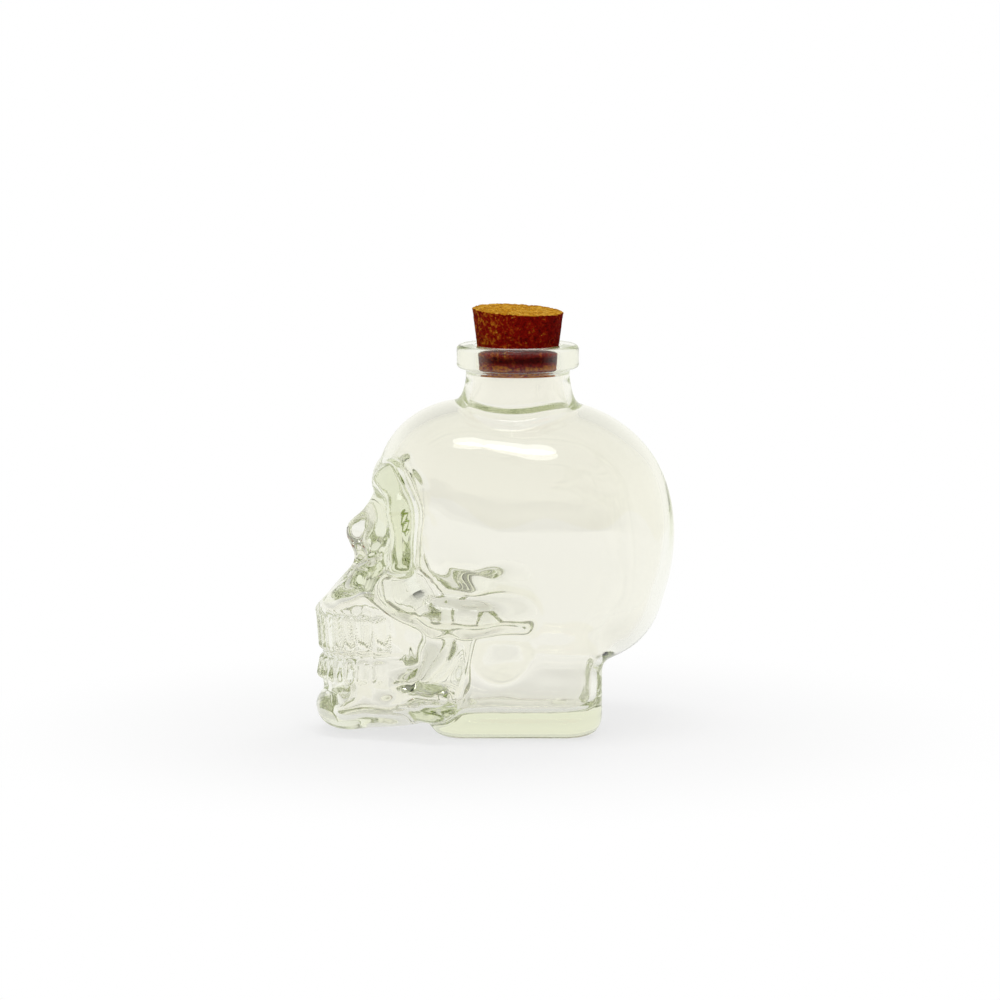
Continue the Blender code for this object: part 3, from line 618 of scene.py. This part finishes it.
def columnAngles(evenness):
    # Angles round the axis from the face, which takes more of them than the back of the head
    share = np.arange(fineness["columns"]) / fineness["columns"]
    even = 2 * math.pi * share
    crowded = even - fineness["faceCrowding"] * np.sin(even)
    return between(crowded, even, evenness)


def backOn(form, points):
    # One step straight to the surface, along the form's slope
    step = fineness["slopeStep"]
    value = form(points)
    slope = np.stack([form(points + step * axis) - value for axis in np.eye(3)], axis=1) / step
    steepness = np.maximum((slope * slope).sum(axis=1), fineness["leastSteepness"])
    return points - slope * (value / steepness)[:, None]


def evened(form, grid, rounds):
    # Points drift to the middle of their neighbours, so that steep walls get their share of them
    for _ in range(rounds):
        middle = np.roll(grid, 1, axis=1) + np.roll(grid, -1, axis=1)
        middle = (middle[1:-1] + grid[:-2] + grid[2:]) / 4
        drifted = (grid[1:-1] + middle) / 2
        grid[1:-1] = backOn(form, drifted.reshape(-1, 3)).reshape(drifted.shape)
    return grid


def skullRings(form, rows, rounds):
    # Every ring's points are found together, by halving each line's stretch that holds the surface
    starts, lines = [], []
    rings = coreOfRings(rows)
    firstHigh = len(rings) - rows[2]
    for index, (halfWidth, halfLength, coreY, coreZ, climb) in enumerate(rings):
        out = levelDirections(columnAngles(max(0, (index + 1 - firstHigh) / rows[2])))
        starts.append(out * np.array([halfWidth, halfLength, 0]) + np.array([0, coreY, coreZ]))
        lines.append(out * math.cos(climb) + np.array([0, 0, math.sin(climb)]))
    starts = np.concatenate(starts)
    lines = np.concatenate(lines)
    near = np.zeros(len(starts))
    far = np.full(len(starts), core["reach"])
    for _ in range(fineness["halvings"]):
        half = (near + far) / 2
        within = form(starts + lines * half[:, None]) < 0
        near = np.where(within, half, near)
        far = np.where(within, far, half)
    points = starts + lines * ((near + far) / 2)[:, None]
    return list(evened(form, points.reshape(len(rings), -1, 3), rounds))


def roundRing(radius, z):
    return levelDirections(columnAngles(1)) * radius + np.array([0, glass["neckMiddleY"], z])


def filletRings(before, shoulder, bendRadius, radius, topZ):
    # From the shoulder, which waves with the skull, up to a round ring. The curve leaves along the
    # skull's own slope, which the ring before the shoulder gives, and bends upright at bendRadius
    count = fineness["filletRings"]
    out = levelDirections(columnAngles(1))[:, :2]
    middle = np.array([0, glass["neckMiddleY"]])
    startRadius = vectorLength(shoulder[:, :2] - middle)
    beforeRadius = vectorLength(before[:, :2] - middle)
    climb = (shoulder[:, 2] - before[:, 2]) / (beforeRadius - startRadius)
    bendZ = shoulder[:, 2] + climb * (startRadius - bendRadius)
    rings = []
    for step in range(1, count + 1):
        share = step / count
        first, bend, last = (1 - share) ** 2, 2 * share * (1 - share), share**2
        ringRadius = first * startRadius + bend * bendRadius + last * radius
        z = first * shoulder[:, 2] + bend * bendZ + last * topZ
        rings.append(np.column_stack([out * ringRadius[:, None] + middle, z]))
    return rings


def arc(middleRadius, middleZ, radius, start, end, count):
    turns = np.radians(np.linspace(start, end, count))
    return [(middleRadius + radius * math.cos(t), middleZ + radius * math.sin(t)) for t in turns]


def neckAndLipProfile():
    # (radius, z) up the outside of the neck, over the lip and down the mouth
    g = glass
    fillet, below, above, inner = fineness["lipRows"]
    top = g["height"]
    lipZ = top - g["lipHeight"]
    neckZ = head["crownZ"] + g["neckFillet"] + g["neckEase"]
    underFillet = g["lipUnderFillet"]
    profile = []
    for share in fineness["neckRows"]:
        profile.append((g["neckRadius"], between(neckZ, lipZ - underFillet, share)))
    profile += arc(g["neckRadius"] + underFillet, lipZ - underFillet, underFillet, 180, 90, fillet)
    under = g["lipUnderRounding"]
    profile += arc(g["lipRadius"] - under, lipZ + under, under, g["lipUnderStart"], 0, below)
    rounding = g["lipTopRounding"]
    profile += arc(g["lipRadius"] - rounding, top - rounding, rounding, 0, 90, above)
    mouth = g["mouthRounding"]
    profile += arc(g["mouthRadius"] + mouth, top - mouth, mouth, 90, 180, inner)
    mouthZ = top - g["mouthLength"]
    boreTopZ = mouthZ - g["boreStepHeight"]
    boreLowZ = head["crownZ"] - g["wall"] + g["neckFillet"] + g["boreEase"]
    for share in fineness["boreStepRows"]:
        radius = between(g["mouthRadius"], g["boreRadius"], eased(share))
        profile.append((radius, between(mouthZ, boreTopZ, share)))
    for share in fineness["neckRows"]:
        profile.append((g["boreRadius"], between(boreTopZ, boreLowZ, share)))
    return profile


def raisePunt(points):
    # The foot's middle is raised a little, which leaves the ring that the bottle stands on. Only
    # what lies on the ground is raised
    g = glass
    low = points[:, 2] < g["groundReach"]
    inwards = -footBlock(points * np.array([1, 1, 0])) - g["footRingWidth"]
    rise = eased(np.clip(inwards / g["puntSlopeWidth"], 0, 1)) * g["puntDepth"]
    points[low, 2] += rise[low]


def meshFromRings(name, rings, firstMiddle, lastMiddle):
    # A closed skin over the rings: a fan at each end and four-sided faces between
    columns = len(rings[0])
    corners = np.concatenate([[firstMiddle], *rings, [lastMiddle]])
    faces = [(0, 1 + (column + 1) % columns, 1 + column) for column in range(columns)]
    for row in range(len(rings) - 1):
        low = 1 + row * columns
        high = low + columns
        for column in range(columns):
            after = (column + 1) % columns
            faces.append((low + column, low + after, high + after, high + column))
    last = len(corners) - 1
    top = last - columns
    faces += [(top + column, top + (column + 1) % columns, last) for column in range(columns)]
    mesh = bpy.data.meshes.new(name)
    mesh.from_pydata(corners.tolist(), [], faces)
    mesh.update()
    mesh.shade_smooth()
    return mesh


def addPiece(name, mesh, body, nodeName):
    piece = bpy.data.objects.new(name, mesh)
    bpy.context.scene.collection.objects.link(piece)
    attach(piece, body)
    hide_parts(nodeName)


def newMaterial(name):
    made = bpy.data.materials.new(name)
    made.use_nodes = True
    nodes = made.node_tree.nodes
    return made, nodes, made.node_tree.links, nodes["Principled BSDF"], nodes["Material Output"]


def feed(links, value, socket):
    # A socket takes either another node's output or a plain value
    if isinstance(value, bpy.types.NodeSocket):
        links.new(value, socket)
    else:
        socket.default_value = value


def mathNode(nodes, links, operation, *values, clamp=False):
    made = nodes.new("ShaderNodeMath")
    made.operation = operation
    made.use_clamp = clamp
    for socket, value in zip(made.inputs, values):
        feed(links, value, socket)
    return made.outputs["Value"]


def mapRange(nodes, links, value, start, end, toStart=0.0, toEnd=1.0, kind="LINEAR"):
    made = nodes.new("ShaderNodeMapRange")
    made.interpolation_type = kind
    names = ("Value", "From Min", "From Max", "To Min", "To Max")
    for name, given in zip(names, (value, start, end, toStart, toEnd)):
        feed(links, given, made.inputs[name])
    return made.outputs["Result"]


def colorRamp(nodes, links, factor, stops):
    ramp = nodes.new("ShaderNodeValToRGB")
    while len(ramp.color_ramp.elements) < len(stops):
        ramp.color_ramp.elements.new(0.5)
    for element, (position, color) in zip(ramp.color_ramp.elements, stops):
        element.position = position
        element.color = (*color, 1)
    links.new(factor, ramp.inputs["Fac"])
    return ramp.outputs["Color"]


def mixColors(nodes, links, factor, first, second, blendType="MIX"):
    # Each of the two colours is a node's output or red, green and blue
    mix = nodes.new("ShaderNodeMix")
    mix.data_type = "RGBA"
    mix.blend_type = blendType
    feed(links, factor, mix.inputs["Factor"])
    for color, name in ((first, "A"), (second, "B")):
        feed(links, (*color, 1) if isinstance(color, tuple) else color, mix.inputs[name])
    return mix.outputs["Result"]


def addBump(nodes, links, shader, height, strength, distance):
    bump = nodes.new("ShaderNodeBump")
    bump.inputs["Strength"].default_value = strength
    bump.inputs["Distance"].default_value = distance
    links.new(height, bump.inputs["Height"])
    links.new(bump.outputs["Normal"], shader.inputs["Normal"])


def addNoise(nodes, links, place, scale, detail):
    noise = nodes.new("ShaderNodeTexNoise")
    noise.inputs["Scale"].default_value = scale
    noise.inputs["Detail"].default_value = detail
    links.new(place, noise.inputs["Vector"])
    return noise


def separated(nodes, links, vector):
    parts = nodes.new("ShaderNodeSeparateXYZ")
    links.new(vector, parts.inputs["Vector"])
    return parts.outputs


def gray(value):
    return (value, value, value)


# What the glass looks like. tint and depth give how fast thick glass turns cream and green
glassLook = {
    "ior": 1.5,
    "roughness": 0.0,
    "surface": (0.972, 0.964, 0.926),
    "tint": (0.55, 0.64, 0.15),
    "depth": 13.5,
    "rippleSize": 55.0,
    "rippleDetail": 2.0,
    "rippleStrength": 0.35,
    "rippleHeight": 0.00006,
}


def glassMaterial():
    look = glassLook
    made, nodes, links, shader, output = newMaterial("clearGlass")
    shader.inputs["Base Color"].default_value = (*look["surface"], 1)
    shader.inputs["Roughness"].default_value = look["roughness"]
    shader.inputs["IOR"].default_value = look["ior"]
    shader.inputs["Transmission Weight"].default_value = 1.0
    place = nodes.new("ShaderNodeTexCoord").outputs["Object"]
    ripple = addNoise(nodes, links, place, look["rippleSize"], look["rippleDetail"]).outputs["Fac"]
    addBump(nodes, links, shader, ripple, look["rippleStrength"], look["rippleHeight"])
    absorb = nodes.new("ShaderNodeVolumeAbsorption")
    absorb.inputs["Color"].default_value = (*look["tint"], 1)
    absorb.inputs["Density"].default_value = look["depth"]
    links.new(absorb.outputs["Volume"], output.inputs["Volume"])
    return made


def glassBottle():
    g, f = glass, fineness
    outer = skullRings(outsideForm, f["outerRows"], f["eveningRounds"])
    footMiddle = np.array([[0, core["lowY"], 0.0]])
    for points in (footMiddle, *outer[: f["outerRows"][0]]):
        raisePunt(points)
    neckZ = head["crownZ"] + g["neckFillet"] + g["neckEase"]
    outer += filletRings(*outer[-2:], g["neckRadius"] + g["neckFlare"], g["neckRadius"], neckZ)
    outer += [roundRing(radius, z) for radius, z in neckAndLipProfile()]
    inner = skullRings(insideForm, f["innerRows"], 0)
    boreZ = head["crownZ"] - g["wall"] + g["neckFillet"] + g["boreEase"]
    inner += filletRings(*inner[-2:], g["boreRadius"] + g["boreFlare"], g["boreRadius"], boreZ)
    floorMiddle = (0, core["lowY"], g["floorThickness"])
    mesh = meshFromRings("skullGlass", outer + inner[::-1], footMiddle[0], floorMiddle)
    mesh.materials.append(glassMaterial())
    addPiece("skullGlass", mesh, "bottle", "glass_bottle")


glassBottle()
print("glass made")

# The cork, pressed from granules: its sizes, and how rough its skin is
cork = {
    "gap": 0.0003,
    "taper": 0.130,
    "aboveLip": 0.0075,
    "belowLip": 0.0059,
    "edge": 0.0004,
    "topSlope": 3.0,
    "topTilt": 1.5,
    "granuleSize": 0.00080,
    "creviceDepth": 0.00012,
    "granuleStep": 0.00008,
    "creviceWidth": 0.22,
    "creviceSharpness": 1.5,
    "pits": 90,
    "pitRadius": (0.00025, 0.00080),
    "pitStretch": (0.5, 1.6),
    "pitDepth": 0.00045,
    "chips": 16,
    "chipRadius": (0.0004, 0.0009),
    "chipDepth": 0.55,
    "chipReach": 1.2,
    "chipRings": 6,
    "deepest": 0.0009,
    "boxMargin": 0.001,
    "columns": 300,
    "sideRows": 110,
    "topRows": 60,
    "edgeRows": 6,
    "seed": 7,
}


def corkRings():
    # The rings, and which way is out of the cork at each of their points, from the middle of the
    # underside to the middle of the top
    c = cork
    seatZ = glass["height"] - glass["mouthRounding"]
    seatRadius = glass["mouthRadius"] - c["gap"]
    lowZ = glass["height"] - c["belowLip"]
    highZ = glass["height"] + c["aboveLip"]
    slope = math.tan(math.radians(c["topSlope"]))
    tilt = math.tan(math.radians(c["topTilt"]))
    angles = np.arange(c["columns"]) / c["columns"] * 2 * math.pi
    out = levelDirections(angles)
    up = np.array([0, 0, 1.0])
    middle = np.array([0, glass["neckMiddleY"], 0])
    rings, outward = [], []

    def add(radius, z, lean):
        ring = out * radius + middle + up * z
        share = (z - lowZ) / (highZ - lowZ)
        drop = (ring[:, 1] - glass["neckMiddleY"]) * slope + ring[:, 0] * tilt
        ring[:, 2] -= drop * share
        rings.append(ring)
        outward.append(out * math.cos(lean) + up * math.sin(lean))

    edge = c["edge"]
    lowRadius = seatRadius + (lowZ - seatZ) * c["taper"]
    highRadius = seatRadius + (highZ - seatZ) * c["taper"]
    for row in range(1, c["topRows"]):
        add((lowRadius - edge) * row / c["topRows"], lowZ, -math.pi / 2)
    for lean in np.radians(np.linspace(-90, 0, c["edgeRows"])):
        add(lowRadius - edge * (1 - math.cos(lean)), lowZ + edge * (1 + math.sin(lean)), lean)
    for row in range(1, c["sideRows"]):
        z = lowZ + edge + (highZ - lowZ - 2 * edge) * row / c["sideRows"]
        add(seatRadius + (z - seatZ) * c["taper"], z, 0)
    for lean in np.radians(np.linspace(0, 90, c["edgeRows"])):
        add(highRadius - edge * (1 - math.cos(lean)), highZ - edge * (1 - math.sin(lean)), lean)
    for row in range(c["topRows"] - 1, 0, -1):
        add((highRadius - edge) * row / c["topRows"], highZ, math.pi / 2)
    return rings, outward


def nearestTwo(points, seeds):
    # For each point: how far its nearest seed is, how far the second, and which one is nearest
    tree = kdtree.KDTree(len(seeds))
    for index, seed in enumerate(seeds):
        tree.insert(seed, index)
    tree.balance()
    found = [tree.find_n(point, 2) for point in points]
    first = np.array([pair[0][2] for pair in found])
    second = np.array([pair[1][2] for pair in found])
    which = np.array([pair[0][1] for pair in found])
    return first, second, which


def dent(points, middle, radius, stretch=1.0):
    # How deep a round hollow about the middle is at each point, as a share of its full depth
    away = vectorLength((points - middle) / stretch) / radius
    return np.clip(1 - away**2, 0, 1)


def corkStopper():
    c = cork
    rings, outward = corkRings()
    points = np.concatenate(rings)
    outward = np.concatenate(outward)
    draw = np.random.default_rng(c["seed"])
    low, high = points.min(axis=0) - c["boxMargin"], points.max(axis=0) + c["boxMargin"]
    count = int(np.prod(high - low) / c["granuleSize"] ** 3)
    seeds = draw.uniform(low, high, (count, 3))
    first, second, which = nearestTwo(points, seeds)
    crevice = np.clip(1 - (second - first) / (c["granuleSize"] * c["creviceWidth"]), 0, 1)
    depth = crevice ** c["creviceSharpness"] * c["creviceDepth"]
    depth += draw.uniform(0, 1, count)[which] ** 2 * c["granuleStep"]
    for _ in range(c["pits"]):
        middle = points[draw.integers(len(points))]
        radius = draw.uniform(*c["pitRadius"])
        stretch = draw.uniform(*c["pitStretch"], 3)
        depth += dent(points, middle, radius, stretch) * min(radius, c["pitDepth"])
    heights = np.array([ring[0][2] for ring in rings])
    atRim = np.flatnonzero(np.abs(heights - heights.max()) < c["edge"] * c["chipReach"])
    rimPoints = np.concatenate([rings[index] for index in atRim[: c["chipRings"]]])
    for _ in range(c["chips"]):
        middle = rimPoints[draw.integers(len(rimPoints))]
        radius = draw.uniform(*c["chipRadius"])
        depth += dent(points, middle, radius) * radius * c["chipDepth"]
    depth = np.minimum(depth, c["deepest"])
    moved = points - outward * depth[:, None]
    rings = list(moved.reshape(len(rings), -1, 3))
    mesh = meshFromRings("corkStopper", rings, rings[0].mean(axis=0), rings[-1].mean(axis=0))
    mesh.materials.append(corkMaterial())
    addPiece("corkStopper", mesh, "cork", "cork_stopper")


# The cork's colours, dark red-brown round the side and ochre on the cut top, and its grain
corkLook = {
    "sideDark": (0.055, 0.0012, 0.0005),
    "side": (0.175, 0.0022, 0.0006),
    "sideMid": (0.240, 0.0050, 0.0012),
    "sideLight": (0.480, 0.150, 0.0080),
    "topDark": (0.420, 0.150, 0.006),
    "top": (0.660, 0.310, 0.014),
    "topLight": (0.800, 0.460, 0.060),
    "crevice": (0.015, 0.001, 0.0005),
    "granules": 1300.0,
    "flecks": 900.0,
    "fleckDetail": 5.0,
    "fleckRoughness": 0.75,
    "fleckDistortion": 0.6,
    "fleckShare": 0.19,
    # Painted light: how fast the pale flecks grow more frequent towards the brow side
    "paintedLightLean": 24.0,
    "leastFleckShare": 0.05,
    "sideStops": (0.36, 0.46, 0.60, 0.78),
    "topStops": (0.0, 0.45, 1.0),
    "topFacing": (0.45, 0.75),
    "grain": 3000.0,
    "grainDetail": 4.0,
    "grainDark": (0.55, 0.5, 0.5),
    "grainStops": (0.3, 0.6),
    "grainStrength": 0.8,
    "grainBump": 0.6,
    "grainHeight": 0.00012,
    "creviceStops": (0.0, 0.05),
    "creviceShare": 0.4,
    "roughness": 0.85,
    "specular": 0.04,
    "bandLowZ": 0.0798,
    "bandHighZ": 0.0816,
    "band": (0.40, 0.25, 0.25),
    "bandStops": (0.0, 0.30, 0.70, 1.0),
    # Painted light: more pale flecks on the cork inside the neck, below the dark band
    "lowPaintedLightFleckShare": 0.85,
    "lowPaintedLightFleckFade": 0.0016,
    # Painted light: up to this height inside the neck the cork's colour is painted twice as light
    "paintedLightUpToZ": 0.0826,
    "paintedLightFade": 0.0008,
}


def addGranules(nodes, links, place, feature):
    granules = nodes.new("ShaderNodeTexVoronoi")
    granules.feature = feature
    granules.inputs["Scale"].default_value = corkLook["granules"]
    links.new(place, granules.inputs["Vector"])
    return granules.outputs


def corkSide(nodes, links, place, tone):
    look = corkLook
    flecks = addNoise(nodes, links, place, look["flecks"], look["fleckDetail"])
    flecks.inputs["Roughness"].default_value = look["fleckRoughness"]
    flecks.inputs["Distortion"].default_value = look["fleckDistortion"]
    # Painted light: pale flecks are more frequent on the side that faces the skull's brow, where
    # the light comes from, and on the cork inside the neck below the dark band at the lip's height
    parts = separated(nodes, links, place)
    # Painted light: more pale flecks towards the brow side, where the light comes from
    slope = -look["paintedLightLean"]
    lean = mathNode(nodes, links, "MULTIPLY_ADD", parts["Y"], slope, look["fleckShare"])
    lean = mathNode(nodes, links, "MAXIMUM", lean, look["leastFleckShare"])
    # Painted light: more pale flecks on the cork below the band, inside the neck, where the glass
    # keeps light from it
    fadeZ = look["bandLowZ"] - look["lowPaintedLightFleckFade"]
    low = mapRange(nodes, links, parts["Z"], fadeZ, look["bandLowZ"], look["lowPaintedLightFleckShare"], 0.0)
    share = mathNode(nodes, links, "ADD", lean, low)
    mottle = mathNode(nodes, links, "MULTIPLY_ADD", tone, share, flecks.outputs["Fac"])
    colors = (look["sideDark"], look["side"], look["sideMid"], look["sideLight"])
    return colorRamp(nodes, links, mottle, list(zip(look["sideStops"], colors)))


def corkMaterial():
    look = corkLook
    made, nodes, links, shader, _ = newMaterial("pressedCork")
    place = nodes.new("ShaderNodeTexCoord").outputs["Object"]
    cells = addGranules(nodes, links, place, "F1")
    edges = addGranules(nodes, links, place, "DISTANCE_TO_EDGE")
    separate = nodes.new("ShaderNodeSeparateColor")
    links.new(cells["Color"], separate.inputs["Color"])
    tone = separate.outputs["Red"]
    side = corkSide(nodes, links, place, tone)
    topColors = (look["topDark"], look["top"], look["topLight"])
    top = colorRamp(nodes, links, tone, list(zip(look["topStops"], topColors)))
    facing = separated(nodes, links, nodes.new("ShaderNodeNewGeometry").outputs["Normal"])
    isTop = mapRange(nodes, links, facing["Z"], *look["topFacing"])
    body = mixColors(nodes, links, isTop, side, top)
    grain = addNoise(nodes, links, place, look["grain"], look["grainDetail"]).outputs["Fac"]
    white = gray(1.0)
    grainColors = (look["grainDark"], white)
    grainTone = colorRamp(nodes, links, grain, list(zip(look["grainStops"], grainColors)))
    body = mixColors(nodes, links, look["grainStrength"], body, grainTone, "MULTIPLY")
    height = separated(nodes, links, place)["Z"]
    bandPlace = mapRange(nodes, links, height, look["bandLowZ"], look["bandHighZ"])
    bandColors = (white, look["band"], look["band"], white)
    bandTone = colorRamp(nodes, links, bandPlace, list(zip(look["bandStops"], bandColors)))
    body = mixColors(nodes, links, 1.0, body, bandTone, "MULTIPLY")
    # Painted light: the part inside the neck is painted twice as light, in place of the light that
    # the glass keeps from it
    fadeZ = look["paintedLightUpToZ"] + look["paintedLightFade"]
    paintedLight = mapRange(nodes, links, height, look["paintedLightUpToZ"], fadeZ, 1.0, 0.0)
    body = mixColors(nodes, links, paintedLight, body, body, "ADD")
    creviceColors = (gray(look["creviceShare"]), white)
    creviceStops = list(zip(look["creviceStops"], creviceColors))
    solidShare = colorRamp(nodes, links, edges["Distance"], creviceStops)
    body = mixColors(nodes, links, solidShare, look["crevice"], body)
    links.new(body, shader.inputs["Base Color"])
    shader.inputs["Roughness"].default_value = look["roughness"]
    shader.inputs["Specular IOR Level"].default_value = look["specular"]
    addBump(nodes, links, shader, grain, look["grainBump"], look["grainHeight"])
    return made


corkStopper()
print("cork made")

# Floor, background and lamps
studio = {
    "floorRadius": 0.32,
    "floorSides": 96,
    "floorDrop": 0.00005,
    "floorColor": 0.88,
    "floorRoughness": 0.9,
    "floorGlow": 0.70,
    "glowThroughGlass": 0.50,
    "fadeFrom": 0.03,
    "fadeTo": 0.12,
    "skyForLight": 0.50,
    "skyBehind": (0.98, 0.975, 0.94),
    "skySide": 0.85,
    "skyFrontLow": 0.03,
    "skyFrontHigh": 0.40,
    "behindUpTo": 0.15,
    "sideFrom": 0.50,
    "frontFrom": 0.76,
    "frontHeights": (-0.25, 0.25),
    "frontStops": (0.08, 0.24, 0.48, 0.80),
    "topStops": (0.20, 0.80),
    "lampAimZ": 0.045,
    "skyTop": 0.66,
}

lamps = (
    # direction from the bottle, distance, width, height, brightness, shown in gloss and glass
    ("keySoftbox", (0.220, -0.030, 0.970), 0.55, 0.25, 0.12, 4.0, True),
    ("topSoftbox", (0.220, -0.080, 0.970), 0.55, 0.36, 0.13, 3.7, False),
    ("frontSoftbox", (0.900, -0.250, 0.420), 0.95, 0.60, 0.40, 3.4, False),
    ("backSoftbox", (-0.60, 0.45, 0.66), 0.60, 0.40, 0.25, 2.8, False),
)


def whereSeen(nodes, links):
    # 1 for the rays that show the background: from the camera, off a gloss or through glass
    ray = nodes.new("ShaderNodeLightPath").outputs
    seen = mathNode(nodes, links, "ADD", ray["Is Camera Ray"], ray["Is Glossy Ray"])
    return ray, mathNode(nodes, links, "ADD", seen, ray["Is Transmission Ray"], clamp=True)


def whiteFloor():
    s = studio
    mesh = bpy.data.meshes.new("floor")
    built = bmesh.new()
    bmesh.ops.create_circle(built, cap_ends=True, segments=s["floorSides"], radius=s["floorRadius"])
    built.to_mesh(mesh)
    built.free()
    floor = bpy.data.objects.new("floor", mesh)
    floor.location.z = -s["floorDrop"]
    bpy.context.scene.collection.objects.link(floor)
    made, nodes, links, shader, output = newMaterial("whiteFloor")
    shader.inputs["Base Color"].default_value = (*gray(s["floorColor"]), 1)
    shader.inputs["Roughness"].default_value = s["floorRoughness"]
    shader.inputs["Specular IOR Level"].default_value = 0.0
    # The floor keeps its shadow near the bottle and fades into the white background farther out
    ray, seen = whereSeen(nodes, links)
    away = nodes.new("ShaderNodeVectorMath")
    away.operation = "LENGTH"
    links.new(nodes.new("ShaderNodeTexCoord").outputs["Object"], away.inputs[0])
    distance = away.outputs["Value"]
    fade = mapRange(
        nodes, links, distance, s["fadeFrom"], s["fadeTo"], s["floorGlow"], 1.0, "SMOOTHSTEP"
    )
    through = mathNode(nodes, links, "MULTIPLY", ray["Is Transmission Ray"], s["glowThroughGlass"])
    share = mathNode(nodes, links, "MAXIMUM", fade, through)
    share = mathNode(nodes, links, "MULTIPLY", share, seen)
    mix = nodes.new("ShaderNodeMixShader")
    links.new(share, mix.inputs["Fac"])
    links.new(shader.outputs["BSDF"], mix.inputs[1])
    links.new(nodes.new("ShaderNodeEmission").outputs["Emission"], mix.inputs[2])
    links.new(mix.outputs["Shader"], output.inputs["Surface"])
    mesh.materials.append(made)


def paleWorld():
    # White to the camera. Glass and gloss see a pale room that is darker overhead, and darkest low
    # in front of the skull's left side, where the camera stands
    s = studio
    world = bpy.data.worlds.new("paleWorld")
    bpy.context.scene.world = world
    world.use_nodes = True
    nodes, links = world.node_tree.nodes, world.node_tree.links
    ray, seen = whereSeen(nodes, links)
    parts = separated(nodes, links, nodes.new("ShaderNodeTexCoord").outputs["Generated"])
    toCamera = mapRange(nodes, links, parts["X"], -1.0, 1.0)
    around = colorRamp(
        nodes, links, toCamera,
        [(s["behindUpTo"], s["skyBehind"]), (s["sideFrom"], gray(s["skySide"]))],
    )
    height = mapRange(nodes, links, parts["Z"], *s["frontHeights"])
    low, high = gray(s["skyFrontLow"]), gray(s["skyFrontHigh"])
    inFront = colorRamp(nodes, links, height, list(zip(s["frontStops"], (high, low, low, high))))
    frontShare = mapRange(nodes, links, toCamera, s["sideFrom"], s["frontFrom"])
    around = mixColors(nodes, links, frontShare, around, inFront)
    topColors = (gray(1.0), gray(s["skyTop"]))
    overhead = colorRamp(nodes, links, parts["Z"], list(zip(s["topStops"], topColors)))
    room = mixColors(nodes, links, 1.0, around, overhead, "MULTIPLY")
    shown = mixColors(nodes, links, ray["Is Camera Ray"], room, gray(1.0))
    color = mixColors(nodes, links, seen, gray(s["skyForLight"]), shown)
    links.new(color, nodes["Background"].inputs["Color"])
    nodes["Background"].inputs["Strength"].default_value = 1.0


def addLamp(name, direction, distance, width, height, brightness, shown):
    data = bpy.data.lights.new(name, "AREA")
    data.shape = "ELLIPSE"
    data.size = width
    data.size_y = height
    data.energy = brightness * math.pi * width * height * math.pi / 4
    lamp = bpy.data.objects.new(name, data)
    aim = Vector((0, 0, studio["lampAimZ"]))
    toLamp = Vector(direction).normalized()
    lamp.location = aim + toLamp * distance
    lamp.rotation_euler = toLamp.to_track_quat("Z", "Y").to_euler()
    lamp.visible_glossy = shown
    lamp.visible_transmission = shown
    bpy.context.scene.collection.objects.link(lamp)


whiteFloor()
paleWorld()
for lampRow in lamps:
    addLamp(*lampRow)
print("studio lit")

# The photograph's view: square, from the skull's left side and a little above
view = {
    "azimuth": 90.0,
    "elevation": 7.5,
    "distance": 1.2,
    "target": (0, 0.0012, 0.0498),
    "sensor": 36.0,
    "lens": 201.96,
    "nearest": 0.01,
    "bounces": 32,
}


def addCamera():
    data = bpy.data.cameras.new("camera")
    data.sensor_width = view["sensor"]
    data.lens = view["lens"]
    data.clip_start = view["nearest"]
    camera = bpy.data.objects.new("camera", data)
    azimuth = math.radians(view["azimuth"])
    elevation = math.radians(view["elevation"])
    away = Vector((
        math.sin(azimuth) * math.cos(elevation),
        -math.cos(azimuth) * math.cos(elevation),
        math.sin(elevation),
    ))
    camera.location = Vector(view["target"]) + away * view["distance"]
    camera.rotation_euler = away.to_track_quat("Z", "Y").to_euler()
    bpy.context.scene.collection.objects.link(camera)
    bpy.context.scene.camera = camera


addCamera()
bpy.context.scene.view_settings.view_transform = "Standard"
# Light crosses the thick glass of the jaws many times before it leaves
bpy.context.scene.cycles.max_bounces = view["bounces"]
bpy.context.scene.cycles.glossy_bounces = view["bounces"]
bpy.context.scene.cycles.transmission_bounces = view["bounces"]
print("camera set")
